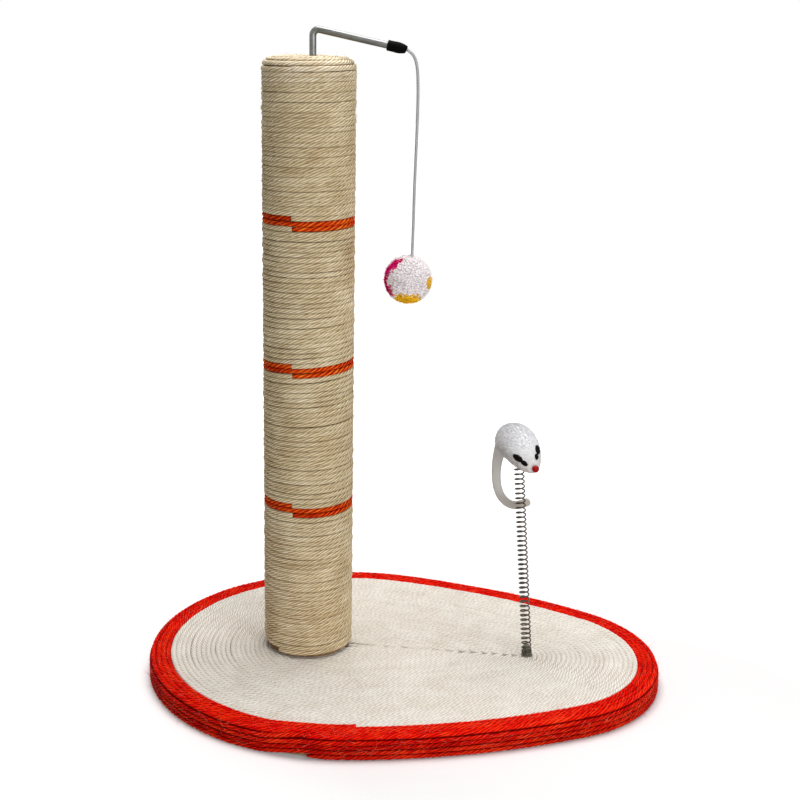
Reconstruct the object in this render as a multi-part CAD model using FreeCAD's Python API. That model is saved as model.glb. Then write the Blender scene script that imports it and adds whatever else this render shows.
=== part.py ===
import FreeCAD, Part
import math
import os
from FreeCAD import Placement, Rotation, Vector

# Cat scratching post: an egg-shaped rope-covered base, a sisal-wound post with three
# orange bands, a bent wire arm that dangles a pompom on a cord, and a plush mouse on a
# coil spring.  Millimetres, +Z up.  The origin is the middle of the base's bounding box,
# on the floor.  The post and the spring both stand on the X axis, the spring at +X.

os.makedirs("parts", exist_ok=True)

# ---- base outline, measured over the rim rope ---------------------------------
base_length = 441.0
big_end_radius = 172.0
small_end_radius = 121.0
side_radius = 519.0
post_from_big_end = 136.3
spring_from_small_end = 112.9

# ---- base build-up ------------------------------------------------------------
felt_thickness = 1.2
felt_inset = 6.0
board_thickness = 15.0
rope_diameter = 4.0
rope_seat = 0.2
rope_pitch = 4.45
rope_end_gap = 4.6
side_loops = 2.72
side_floor_gap = 0.2
rim_loops = 3.96
rim_first_offset = 3.65
field_pitch = 5.2
field_last_radius = 6.8
seam_tip_radius = 5.5
most_loops = 24
big_share = 0.25
side_share = 0.15
shortest_stop = 0.02
steps_per_loop = 2000

# ---- post ---------------------------------------------------------------------
post_height = 520.5
tube_outer_radius = 33.5
tube_wall = 3.0
plug_clearance = 0.1
foot_plug_height = 22.0
top_plug_height = 24.0
foot_seat = 0.1
band_first_height = 153.4
band_spacing = 120.0
band_count = 3
band_loops = 2
rope_cut_angle = -108.0
top_spiral_pitch = 4.9
top_spiral_edge = 0.9

# ---- post fastening -----------------------------------------------------------
bolt_radius = 2.5
bolt_grip = 13.0
bolt_head_radius = 4.5
bolt_head_height = 3.5
washer_radius = 9.0
washer_thickness = 1.2
counterbore_clearance = 1.0
counterbore_depth = 6.0
insert_radius = 4.0
insert_length = 14.0
insert_flange_radius = 6.5
insert_flange_thickness = 1.5
hole_clearance = 0.1
head_clearance = 0.3
thread_clearance = 0.05

# ---- wire arm, ferrule, cord and pompom ---------------------------------------
wire_radius = 2.8
wire_bore_clearance = 0.05
wire_offset = 3.1
wire_seat_depth = 20.0
wire_rise = 23.2
wire_bend_radius = 4.6
wire_droop = 11.4
wire_reach = 68.5
ferrule_reach = 78.0
ferrule_length = 15.6
ferrule_mouth_radius = 4.2
ferrule_tip_radius = 2.7
ferrule_shoulder = 5.0
ferrule_end_gap = 0.3
cord_diameter = 2.4
cord_exit_slope = 30.0
pompom_radius = 20.0
pompom_offset = -2.0
pompom_flat_radius = 4.0
pompom_tie_radius = 3.0
pompom_tie_bar = 0.8
corner_share = 0.45

# ---- spring and its foot ------------------------------------------------------
spring_tilt = 4.4
spring_radius = 4.3
spring_wire = 1.2
spring_pitch = 4.19
spring_closed_pitch = 1.65
spring_closed_foot = 3
spring_closed_head = 2
spring_open_turns = 41
peg_flange_radius = 4.8
peg_flange_thickness = 1.2
peg_radius = 2.45
peg_height = 9.0
peg_coil_gap = 0.4
screw_radius = 1.5
screw_head_radius = 3.0
screw_head_height = 2.0
screw_bite = 7.0

# ---- mouse --------------------------------------------------------------------
mouse_heading = -55.0
mouse_roll = -14.0
mouse_height = 190.5
mouse_setback = 7.6
# stations along the mouse: distance ahead of the middle, height, radius
mouse_stations = [
    (-15.2, 1.0, 3.0),
    (-13.3, 0.9, 8.0),
    (-8.0, 0.5, 13.0),
    (0.0, 0.0, 15.5),
    (8.0, -1.0, 15.2),
    (16.0, -4.5, 13.0),
    (23.0, -8.5, 9.8),
    (29.0, -12.0, 6.2),
    (33.0, -14.5, 3.2),
]
nose_radius = 2.9
nose_ahead = 2.2
ear_station = 21.5
ear_angle = 67.0
ear_radius = 3.7
ear_thickness = 1.5
eye_station = 27.0
eye_angle = 58.0
eye_radius = 2.0
eye_thickness = 1.2
cup_radius = 5.2
cup_wall = 0.6
cup_depth = 9.0
cup_roof = 1.0
cup_coil_gap = 0.3
cup_body_gap = 0.1
tail_radius = 3.2

# ---- places worked out from the sizes -----------------------------------------
rope_radius = rope_diameter / 2
post_x = -base_length / 2 + post_from_big_end
spring_x = base_length / 2 - spring_from_small_end
big_centre_x = -base_length / 2 + big_end_radius
small_centre_x = base_length / 2 - small_end_radius
board_inset = rope_diameter + rope_seat
board_top = felt_thickness + board_thickness
layer_mid = board_top + rope_seat + rope_radius
layer_top = layer_mid + rope_radius
post_foot = layer_top + foot_seat
tube_top = post_height - rope_diameter - rope_seat
wound_radius = tube_outer_radius + rope_seat + rope_radius
plug_radius = tube_outer_radius - tube_wall - plug_clearance
wire_x = post_x + wire_offset

UP = Vector(0, 0, 1)


def save(name, shape):
    """Write one node and print its size."""
    box = shape.BoundBox
    print("%-20s solids %d valid %s volume %9.1f  z %7.2f %7.2f" % (
        name, len(shape.Solids), shape.isValid(), shape.Volume, box.ZMin, box.ZMax))
    shape.exportStep("parts/" + name + ".step")


def cylinder(radius, height, x, y, z, axis=UP):
    return Part.makeCylinder(radius, height, Vector(x, y, z), axis)


# ---- tubes along arcs ---------------------------------------------------------
def arc_at_corner(start, corner, end):
    """The arc that leaves start towards corner and arrives at end from corner."""
    middle = (start + end) * 0.5
    rise = corner - middle
    half = (end - start).Length / 2
    if rise.Length < 1e-7 * half:
        return Part.LineSegment(start, end).toShape()
    angle = math.atan2(rise.Length, half)
    top = middle + rise * (half * math.tan(angle / 2) / rise.Length)
    return Part.Arc(start, top, end).toShape()


def biarc(p0, t0, p1, t1):
    """Two tangent arcs from p0 along t0 to p1 along t1."""
    gap = p1 - p0
    both = t0 + t1
    a = 4 - both.dot(both)
    b = gap.dot(both)
    c = gap.dot(gap)
    if a < 1e-9:
        reach = c / (2 * b)
    else:
        reach = (-b + math.sqrt(b * b + a * c)) / a
    q0 = p0 + t0 * reach
    q1 = p1 - t1 * reach
    join = (q0 + q1) * 0.5
    return [arc_at_corner(p0, q0, join), arc_at_corner(join, q1, p1)]


def wound_path(place, stops, straight):
    """Biarcs through place(u) at each stop, with a straight run at both ends."""
    step = 1e-4
    points = [place(u) for u in stops]
    tangents = []
    for u in stops:
        tangent = place(u + step) - place(u - step)
        tangent.normalize()
        tangents.append(tangent)
    edges = [Part.LineSegment(points[0] - tangents[0] * straight, points[0]).toShape()]
    for i in range(len(stops) - 1):
        edges += biarc(points[i], tangents[i], points[i + 1], tangents[i + 1])
    edges.append(Part.LineSegment(points[-1], points[-1] + tangents[-1] * straight).toShape())
    return Part.Wire(edges), points[0] - tangents[0] * straight, tangents[0]


def tube(path, start, direction, radius):
    """A round tube of one unbroken sweep along path."""
    ring = Part.Wire([Part.Circle(start, direction, radius).toShape()])
    return path.makePipeShell([ring], True, False)


def least_gap(place, first, last, radius, per_loop=24):
    """The least gap between a winding's turns, measured on points half a loop apart or more."""
    count = int((last - first) * per_loop)
    points = [place(first + i / per_loop) for i in range(count + 1)]
    best = 1e9
    for i in range(count + 1):
        for j in range(i + per_loop // 2, min(count + 1, i + 2 * per_loop)):
            best = min(best, (points[j] - points[i]).Length)
    return best - 2 * radius


def winding(name, place, stops, radius):
    path, start, direction = wound_path(place, stops, 2 * radius)
    shape = tube(path, start, direction, radius)
    print("%-20s loops %5.2f least gap %.2f" % (
        name, stops[-1] - stops[0], least_gap(place, stops[0], stops[-1], radius)))
    return shape


def rounded_path(points, report=""):
    """Straight runs joined by tangent arcs, each as large as its two runs allow."""
    edges = []
    here = points[0]
    for i in range(1, len(points) - 1):
        before = points[i] - points[i - 1]
        after = points[i + 1] - points[i]
        setback = corner_share * min(before.Length, after.Length)
        start = points[i] - before * (setback / before.Length)
        end = points[i] + after * (setback / after.Length)
        edges.append(Part.LineSegment(here, start).toShape())
        edges.append(arc_at_corner(start, points[i], end))
        here = end
        if report:
            turn = before.getAngle(after)
            print("%s point %d turn %5.1f radius %7.1f" % (
                report, i, math.degrees(turn), setback / math.tan(turn / 2)))
    edges.append(Part.LineSegment(here, points[-1]).toShape())
    return Part.Wire(edges)


# ---- the egg outline and its offsets ------------------------------------------
span = small_centre_x - big_centre_x
reach_big = side_radius - big_end_radius
reach_small = side_radius - small_end_radius
side_x = big_centre_x + (reach_big ** 2 - reach_small ** 2 + span ** 2) / (2 * span)
side_y = math.sqrt(reach_big ** 2 - (side_x - big_centre_x) ** 2)
big_joint = math.atan2(side_y, big_centre_x - side_x)


def tip_of(offset):
    """Centre, radius and joint angle of the small end, this far inside the outline."""
    radius = small_end_radius - offset
    centre = small_centre_x
    if radius < seam_tip_radius:
        radius = seam_tip_radius
        centre = side_x + math.sqrt((side_radius - offset - radius) ** 2 - side_y ** 2)
    return centre, radius, math.atan2(side_y, centre - side_x)


def egg_point(offset, turn):
    """A point of the egg outline moved inwards: turn 0 is the big end, 0.5 the small end.

    Of each half turn the big end takes big_share and the long side side_share.
    """
    turn = turn % 1.0
    upper = turn > 0.5
    part = 1 - turn if upper else turn
    centre, radius, small_joint = tip_of(offset)
    if part < big_share:
        angle = math.pi - (math.pi - big_joint) * part / big_share
        x = big_centre_x + (big_end_radius - offset) * math.cos(angle)
        y = (big_end_radius - offset) * math.sin(angle)
    elif part < big_share + side_share:
        angle = big_joint + (small_joint - big_joint) * (part - big_share) / side_share
        x = side_x + (side_radius - offset) * math.cos(angle)
        y = -side_y + (side_radius - offset) * math.sin(angle)
    else:
        angle = small_joint * (0.5 - part) / (0.5 - big_share - side_share)
        x = centre + radius * math.cos(angle)
        y = radius * math.sin(angle)
    return x, y if upper else -y


def egg_stops(first, last):
    """Where biarcs of a looped egg start and end, between two turns."""
    half = [0.0, big_share / 2, big_share, big_share + side_share]
    knots = half + [0.5] + [1 - knot for knot in reversed(half[1:])]
    stops = [first]
    for loop in range(int(math.floor(first)), int(math.ceil(last)) + 1):
        for knot in knots:
            u = loop + knot
            if first + shortest_stop < u < last - shortest_stop:
                stops.append(u)
    return stops + [last]


def egg_face(offset, z):
    """The flat egg face, this far inside the outline."""
    sides = big_share + side_share
    turns = [0.0, big_share, sides, 0.5, 1 - sides, 1 - big_share, 1.0]
    edges = []
    for start, end in zip(turns, turns[1:]):
        points = [Vector(*egg_point(offset, turn), z) for turn in (start, (start + end) / 2, end)]
        edges.append(Part.Arc(*points).toShape())
    return Part.Face(Part.Wire(edges))


# ---- base ---------------------------------------------------------------------
counterbore_radius = washer_radius + counterbore_clearance
counterbore_top = felt_thickness + counterbore_depth
screw_counterbore_radius = screw_head_radius + head_clearance
screw_counterbore_top = felt_thickness + screw_head_height + head_clearance


def base_board():
    board = egg_face(board_inset, felt_thickness).extrude(UP * board_thickness)
    board = board.cut(cylinder(bolt_radius + hole_clearance, board_top, post_x, 0, 0))
    board = board.cut(cylinder(counterbore_radius, counterbore_top, post_x, 0, 0))
    board = board.cut(cylinder(screw_radius + hole_clearance, board_top, spring_x, 0, 0))
    return board.cut(cylinder(screw_counterbore_radius, screw_counterbore_top, spring_x, 0, 0))


def underside_felt():
    felt = egg_face(board_inset + felt_inset, 0).extrude(UP * felt_thickness)
    felt = felt.cut(cylinder(counterbore_radius, felt_thickness, post_x, 0, 0))
    return felt.cut(cylinder(screw_counterbore_radius, felt_thickness, spring_x, 0, 0))


def side_rope_place(u):
    x, y = egg_point(rope_radius, u)
    return Vector(x, y, side_floor_gap + rope_radius + rope_pitch * u)


def rim_rope_place(u):
    x, y = egg_point(rim_first_offset + rope_pitch * u, u)
    return Vector(x, y, layer_mid)


rim_last_offset = rim_first_offset + rope_pitch * (math.floor(rim_loops) + 1)
loops_to_post = int((post_from_big_end - rim_last_offset - rope_seat) / field_pitch)
loops_to_spring = loops_to_post - (post_from_big_end - spring_from_small_end) / field_pitch


def field_place(u):
    """The natural rope of the base: it spirals in, over the post's bolt at a whole loop."""
    x, y = egg_point(post_from_big_end + field_pitch * (u - loops_to_post), u)
    return Vector(x, y, layer_mid)


def field_end():
    """The half loop where the slit round the seam closes."""
    u = loops_to_post + 0.5
    while True:
        offset = post_from_big_end + field_pitch * (u + 0.5 - loops_to_post)
        inside = (side_radius - offset - seam_tip_radius) ** 2 - side_y ** 2
        if big_end_radius - offset < field_last_radius or inside < 0:
            return u
        if side_x + math.sqrt(inside) < big_centre_x + seam_tip_radius:
            return u
        u += 0.5


def clear_stretches(first, last, holes):
    """The stretches of the spiral that keep clear of the drilled holes."""
    steps = int((last - first) * steps_per_loop)
    turns = [first + (last - first) * i / steps for i in range(steps + 1)]
    kept = []
    begin = None
    for i, u in enumerate(turns):
        point = field_place(u)
        clear = all(math.hypot(point.x - x, point.y) > keep for x, keep in holes)
        if clear and begin is None:
            begin = i
        if begin is not None and (not clear or i == steps):
            kept.append([begin, i])
            begin = None
    for stretch in kept:
        # leave room for the straight run at an end that a hole cuts
        if stretch[0] > 0:
            stretch[0] = step_away(turns, stretch[0], 1)
        if stretch[1] < steps:
            stretch[1] = step_away(turns, stretch[1], -1)
    return [(turns[a], turns[b]) for a, b in kept if b > a]


def step_away(turns, index, way):
    """The index one straight run further along the spiral."""
    start = field_place(turns[index])
    while (field_place(turns[index]) - start).Length < rope_diameter + rope_seat:
        index += way
    return index


def field_ropes():
    """The rope field, cut where the post's bolt and the spring's screw are drilled through."""
    side = rope_radius + rope_seat + hole_clearance
    holes = [(post_x, bolt_radius + side), (spring_x, screw_radius + side)]
    parts = {"outer": [], "middle": [], "inner": []}
    for first, last in clear_stretches(0.0, field_end(), holes):
        place = "outer" if first < loops_to_spring - 0.25 else "middle"
        if first > loops_to_post - 0.25:
            place = "inner"
        parts[place].append(winding("base_rope_" + place, field_place,
                                    egg_stops(first, last), rope_radius))
    return parts


def as_node(shapes):
    return shapes[0] if len(shapes) == 1 else Part.Compound(shapes)


save("base_board", base_board())
save("underside_felt", underside_felt())
save("rim_rope_side", winding("rim_rope_side", side_rope_place, egg_stops(0.0, side_loops),
                              rope_radius))
save("rim_rope_top", winding("rim_rope_top", rim_rope_place, egg_stops(0.0, rim_loops),
                             rope_radius))
for place, shapes in field_ropes().items():
    save("base_rope_" + place, as_node(shapes))


# ---- post ---------------------------------------------------------------------
def post_tube():
    height = tube_top - post_foot
    outside = cylinder(tube_outer_radius, height, post_x, 0, post_foot)
    return outside.cut(cylinder(tube_outer_radius - tube_wall, height, post_x, 0, post_foot))


def foot_plug():
    plug = cylinder(plug_radius, foot_plug_height, post_x, 0, post_foot)
    bore = cylinder(insert_radius + hole_clearance, foot_plug_height, post_x, 0, post_foot)
    recess = cylinder(insert_flange_radius + hole_clearance, insert_flange_thickness,
                      post_x, 0, post_foot)
    return plug.cut(bore).cut(recess)


def threaded_insert():
    body = cylinder(insert_radius, insert_length, post_x, 0, post_foot)
    flange = cylinder(insert_flange_radius, insert_flange_thickness, post_x, 0, post_foot)
    bore = cylinder(bolt_radius + hole_clearance, insert_length, post_x, 0, post_foot)
    return body.fuse(flange).cut(bore).removeSplitter()


def post_bolt():
    under_head = counterbore_top - washer_thickness
    head = cylinder(bolt_head_radius, bolt_head_height, post_x, 0, under_head - bolt_head_height)
    shank_top = post_foot + bolt_grip
    shank = cylinder(bolt_radius, shank_top - under_head, post_x, 0, under_head)
    return head.fuse(shank).removeSplitter()


def bolt_washer():
    bottom = counterbore_top - washer_thickness
    disc = cylinder(washer_radius, washer_thickness, post_x, 0, bottom)
    return disc.cut(cylinder(bolt_radius + hole_clearance, washer_thickness, post_x, 0, bottom))


def top_plug():
    plug = cylinder(plug_radius, top_plug_height, post_x, 0, tube_top - top_plug_height)
    bore = cylinder(wire_radius + wire_bore_clearance, wire_seat_depth,
                    wire_x, 0, tube_top - wire_seat_depth)
    return plug.cut(bore)


def helix_place(low, pitch):
    """A right-handed winding on the post that starts at the cut angle."""
    start = math.radians(rope_cut_angle)

    def place(u):
        angle = start + 2 * math.pi * u
        return Vector(post_x + wound_radius * math.cos(angle),
                      wound_radius * math.sin(angle), low + pitch * u)
    return place


def half_turns(loops):
    return [i / 2 for i in range(int(2 * loops) + 1)]


def post_winding(name, low, high, loops):
    place = helix_place(low, (high - low) / loops)
    return winding(name, place, half_turns(loops), rope_radius)


def band_limits(index):
    middle = band_first_height + band_spacing * index
    return middle - rope_pitch * band_loops / 2, middle + rope_pitch * band_loops / 2


def top_spiral():
    """The flat spiral on the post's top, wound in towards the wire arm."""
    outer = tube_outer_radius - top_spiral_edge
    inner = wire_offset + wire_radius + 2 * rope_seat + rope_radius
    loops = int(2 * (outer - inner) / top_spiral_pitch) / 2

    def place(u):
        angle = 2 * math.pi * u
        radius = outer - top_spiral_pitch * u
        return Vector(post_x + radius * math.cos(angle), radius * math.sin(angle),
                      tube_top + rope_seat + rope_radius)
    return winding("post_top_spiral", place, half_turns(loops), rope_radius)


save("post_tube", post_tube())
save("post_foot_plug", foot_plug())
save("threaded_insert", threaded_insert())
save("post_bolt", post_bolt())
save("bolt_washer", bolt_washer())
save("post_top_plug", top_plug())
section_low = post_foot + rope_seat + rope_radius
for index in range(band_count + 1):
    if index < band_count:
        section_high = band_limits(index)[0] - rope_end_gap
    else:
        section_high = tube_top - rope_radius
    loops = min(most_loops, int((section_high - section_low) / rope_pitch))
    node = "sisal_section_%d" % (index + 1)
    save(node, post_winding(node, section_low, section_high, loops))
    if index < band_count:
        low, high = band_limits(index)
        node = "orange_band_%d" % (index + 1)
        save(node, post_winding(node, low, high, band_loops))
        section_low = high + rope_end_gap
save("post_top_spiral", top_spiral())

# ---- wire arm and ferrule -----------------------------------------------------
droop = math.radians(wire_droop)
wire_direction = Vector(math.cos(droop), 0, -math.sin(droop))
wire_corner = Vector(wire_x, 0, post_height + wire_rise)


def wire_point(reach):
    """The point of the sloping wire's axis at this distance from the post's axis."""
    along = (reach - wire_offset) / math.cos(droop)
    return wire_corner + wire_direction * along


def wire_arm():
    turn = math.pi / 2 + droop
    reach = wire_bend_radius * math.tan(turn / 2)
    foot = Vector(wire_x, 0, tube_top - wire_seat_depth)
    bend_start = wire_corner - UP * reach
    bend_end = wire_corner + wire_direction * reach
    path = Part.Wire([
        Part.LineSegment(foot, bend_start).toShape(),
        arc_at_corner(bend_start, wire_corner, bend_end),
        Part.LineSegment(bend_end, wire_point(wire_reach)).toShape(),
    ])
    return tube(path, foot, UP, wire_radius)


exit_point = wire_point(ferrule_reach)
exit_slope = math.radians(cord_exit_slope)
exit_direction = Vector(math.cos(exit_slope), 0, -math.sin(exit_slope))


def cord_ferrule():
    """A moulded cap on the wire's end: a straight mouth and a rounded taper."""
    mouth = -ferrule_length
    shoulder = mouth + ferrule_shoulder
    outline = [
        Part.LineSegment(Vector(0, 0, mouth), Vector(ferrule_mouth_radius, 0, mouth)).toShape(),
        Part.LineSegment(Vector(ferrule_mouth_radius, 0, mouth),
                         Vector(ferrule_mouth_radius, 0, shoulder)).toShape(),
        arc_at_corner(Vector(ferrule_mouth_radius, 0, shoulder),
                      Vector(ferrule_mouth_radius, 0, 0), Vector(ferrule_tip_radius, 0, 0)),
        Part.LineSegment(Vector(ferrule_tip_radius, 0, 0), Vector(0, 0, 0)).toShape(),
        Part.LineSegment(Vector(0, 0, 0), Vector(0, 0, mouth)).toShape(),
    ]
    cap = Part.Face(Part.Wire(outline)).revolve(Vector(0, 0, 0), UP, 360)
    cap.Placement = Placement(exit_point, Rotation(UP, wire_direction))
    bore_depth = (wire_reach - ferrule_reach) / math.cos(droop) + ferrule_length
    mouth_centre = exit_point - wire_direction * ferrule_length
    bore = Part.makeCylinder(wire_radius + wire_bore_clearance, bore_depth + ferrule_end_gap,
                             mouth_centre, wire_direction)
    trim = Part.makeCylinder(3 * ferrule_mouth_radius, 3 * ferrule_mouth_radius,
                             exit_point, exit_direction)
    return cap.cut(bore).cut(trim)


# ---- cord and pompom ----------------------------------------------------------
# the cord's route as it hangs, from the ferrule: reach from the post's axis, and drop
# below the point where it leaves the ferrule
cord_route = [
    (0.0, 0.0, 0.0),
    (4.8, -2.8, 0.0),
    (7.9, -9.6, 0.2),
    (9.2, -20.5, 0.4),
    (9.6, -42.0, 0.2),
    (9.0, -75.0, -0.3),
    (8.0, -110.0, 0.0),
    (7.8, -141.0, 0.3),
    (7.2, -163.8, 0.0),
]
cord_points = [exit_point + Vector(x, y, z) for x, z, y in cord_route]
cord_points[1] = exit_point + exit_direction * math.hypot(cord_route[1][0], cord_route[1][1])


def cord():
    path = rounded_path(cord_points, "cord")
    length = path.Length
    shape = tube(path, cord_points[0], cord_points[1] - cord_points[0], cord_diameter / 2)
    section = math.pi * cord_diameter ** 2 / 4
    print("cord length %.1f volume over section times length %.4f" % (
        length, shape.Volume / (section * length)))
    return shape


cord_end = cord_points[-1]
cord_fall = cord_points[-1] - cord_points[-2]
cord_fall.normalize()
pompom_drop = math.sqrt(pompom_radius ** 2 - pompom_flat_radius ** 2)
pompom_centre = cord_end + cord_fall * pompom_drop + Vector(pompom_offset, 0, 0)
tie_room_radius = pompom_tie_radius + 2 * pompom_tie_bar


def pompom():
    """A cut-yarn ball, flat where the cord goes in, hollow round its own tie."""
    ball = Part.makeSphere(pompom_radius, pompom_centre)
    trim = Part.makeCylinder(pompom_radius, pompom_radius, cord_end, cord_fall * -1)
    return ball.cut(trim).cut(Part.makeSphere(tie_room_radius, pompom_centre))


def pompom_tie():
    """The thread that binds the yarn at the ball's middle."""
    ring = Part.makeTorus(pompom_tie_radius, pompom_tie_bar, pompom_centre, UP)
    knot = Part.makeSphere(2 * pompom_tie_bar, pompom_centre + Vector(pompom_tie_radius, 0, 0))
    return ring.fuse(knot)


save("wire_arm", wire_arm())
save("cord_ferrule", cord_ferrule())
save("cord", cord())
save("pompom", pompom())
save("pompom_tie", pompom_tie())

# ---- spring, its peg and its screw --------------------------------------------
tilt = math.radians(spring_tilt)
spring_axis = Vector(-math.sin(tilt), 0, math.cos(tilt))
spring_side = Vector(math.cos(tilt), 0, math.sin(tilt))
spring_across = Vector(0, 1, 0)
spring_foot = Vector(spring_x, 0, post_foot)
coil_radius = spring_radius - spring_wire / 2
coil_start = peg_flange_thickness + peg_coil_gap + spring_wire / 2
foot_height = spring_closed_foot * spring_closed_pitch
open_height = spring_open_turns * spring_pitch
head_height = spring_closed_head * spring_closed_pitch
coil_turns = spring_closed_foot + spring_open_turns + spring_closed_head
coil_end = coil_start + foot_height + open_height + head_height


def along_spring(distance):
    return spring_foot + spring_axis * distance


def coil_rise(u):
    """How far the wire has climbed after u turns: closed, open, closed."""
    low = min(u, spring_closed_foot)
    middle = min(max(u - spring_closed_foot, 0), spring_open_turns)
    high = max(u - spring_closed_foot - spring_open_turns, 0)
    return coil_start + (low + high) * spring_closed_pitch + middle * spring_pitch


def coil_place(u):
    angle = 2 * math.pi * u
    return (along_spring(coil_rise(u)) + spring_side * (coil_radius * math.cos(angle))
            + spring_across * (coil_radius * math.sin(angle)))


def toy_spring():
    stops = [i / 4 for i in range(4 * coil_turns + 1)]
    return winding("toy_spring", coil_place, stops, spring_wire / 2)


def spring_peg():
    """The turned peg that the closed coils grip, with a flange on the rope."""
    flange = cylinder(peg_flange_radius, peg_flange_thickness, spring_x, 0, post_foot)
    shank = Part.makeCylinder(peg_radius, peg_height, along_spring(peg_flange_thickness / 2),
                              spring_axis)
    bore = cylinder(screw_radius + thread_clearance, screw_bite, spring_x, 0, post_foot)
    return flange.fuse(shank).cut(bore)


def spring_screw():
    bottom = screw_counterbore_top - screw_head_height
    head = cylinder(screw_head_radius, screw_head_height, spring_x, 0, bottom)
    shank_top = post_foot + screw_bite
    shank = cylinder(screw_radius, shank_top - screw_counterbore_top, spring_x, 0,
                     screw_counterbore_top)
    return head.fuse(shank).removeSplitter()


save("toy_spring", toy_spring())
save("spring_peg", spring_peg())
save("spring_screw", spring_screw())

# ---- mouse --------------------------------------------------------------------
heading = math.radians(mouse_heading)
mouse_forward = Vector(math.cos(heading), math.sin(heading), 0)
axis_at_mouse = along_spring(mouse_height / math.cos(tilt))
mouse_middle = axis_at_mouse - mouse_forward * mouse_setback
mouse_turn = Rotation(UP, mouse_heading)
mouse_place = Placement(mouse_middle, mouse_turn)
cup_top = coil_end + spring_wire / 2 + cup_coil_gap + cup_roof


def three_arc_ring(ahead, height, radius):
    """A round section of the plush body, as three arcs."""
    points = []
    for i in range(6):
        angle = math.pi / 2 + i * math.pi / 3
        points.append(Vector(ahead, radius * math.cos(angle), height + radius * math.sin(angle)))
    arcs = [Part.Arc(points[i], points[i + 1], points[(i + 2) % 6]).toShape()
            for i in (0, 2, 4)]
    return Part.Wire(arcs)


def plush_body():
    """The body and head in one: a humped back that tapers to the nose."""
    rings = [three_arc_ring(*station) for station in mouse_stations]
    body = Part.makeLoft(rings, True, False)
    body.Placement = mouse_place
    return body


def cup_space(extra):
    length = cup_depth + cup_roof + 2 * spring_radius
    start = along_spring(cup_top + extra - length)
    return Part.makeCylinder(cup_radius + extra, length, start, spring_axis)


def mouse_cup():
    """The cup in the belly that the spring's last coils sit in."""
    height = cup_depth + cup_roof
    outside = Part.makeCylinder(cup_radius, height, along_spring(cup_top - height), spring_axis)
    inside = Part.makeCylinder(cup_radius - cup_wall, cup_depth,
                               along_spring(cup_top - height), spring_axis)
    return outside.cut(inside)


def station_at(ahead):
    """Height and radius of the body, this far ahead of its middle."""
    for (a0, h0, r0), (a1, h1, r1) in zip(mouse_stations, mouse_stations[1:]):
        if a0 <= ahead <= a1:
            part = (ahead - a0) / (a1 - a0)
            return h0 + (h1 - h0) * part, r0 + (r1 - r0) * part, (r1 - r0) / (a1 - a0)
    return mouse_stations[-1][1], mouse_stations[-1][2], 0.0


def face_disc(body, ahead, angle, radius, thickness):
    """A felt disc laid on the head, cut to the head's own curve."""
    height, girth, taper = station_at(ahead)
    around = math.radians(angle + mouse_roll)
    normal = Vector(-taper, math.sin(around), math.cos(around))
    normal.normalize()
    spot = Vector(ahead, girth * math.sin(around), height + girth * math.cos(around))
    disc = Part.makeCylinder(radius, 2 * thickness, spot - normal * thickness, normal)
    disc.Placement = mouse_place.multiply(disc.Placement)
    return disc.cut(body)


def mouse_nose():
    ahead, height, radius = mouse_stations[-1]
    centre = Vector(ahead + nose_ahead, 0, height)
    ball = Part.makeSphere(nose_radius, centre)
    trim = Part.makeBox(2 * nose_radius, 4 * nose_radius, 4 * nose_radius,
                        Vector(ahead - 2 * nose_radius, -2 * nose_radius, height - 2 * nose_radius))
    nose = ball.cut(trim)
    nose.Placement = mouse_place
    return nose


# the tail's route from the rump, as offsets from the mouse's middle
tail_route = [
    (-8.0, 9.0, -6.5),
    (-12.6, 8.6, -14.5),
    (-14.9, 8.2, -27.0),
    (-13.6, 7.8, -40.0),
    (-8.2, 7.6, -51.0),
    (0.6, 7.4, -57.6),
    (9.4, 7.4, -58.0),
    (16.2, 7.4, -54.5),
]


def mouse_tail(body):
    points = [mouse_middle + Vector(*offset) for offset in tail_route]
    band = tube(rounded_path(points), points[0], points[1] - points[0], tail_radius)
    return band.cut(body)


whole_body = plush_body()
bored_body = whole_body.cut(cup_space(cup_body_gap))
save("mouse_body", bored_body)
save("mouse_cup", mouse_cup())
save("mouse_nose", mouse_nose())
for side, sign in (("left", 1), ("right", -1)):
    save("mouse_ear_" + side, face_disc(whole_body, ear_station, sign * ear_angle,
                                        ear_radius, ear_thickness))
    save("mouse_eye_" + side, face_disc(whole_body, eye_station, sign * eye_angle,
                                        eye_radius, eye_thickness))
save("mouse_tail", mouse_tail(whole_body))
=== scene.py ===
# %% [markdown]
# # Dressing a cat scratching post
#
# The construction comes from CAD: a board, a cardboard tube, a wire arm, a spring and all the
# hidden fasteners, at their real size.  This lesson gives it its looks.  Most of what the eye
# meets is rope, so most of the work goes into one good rope and into laying it the way a
# winder would: round the post, round the rim and in one long spiral over the base.
#
# The first cell loads the frame.

import math

import bpy
import numpy as np
from mathutils import Matrix, Vector
from mathutils.bvhtree import BVHTree


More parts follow.
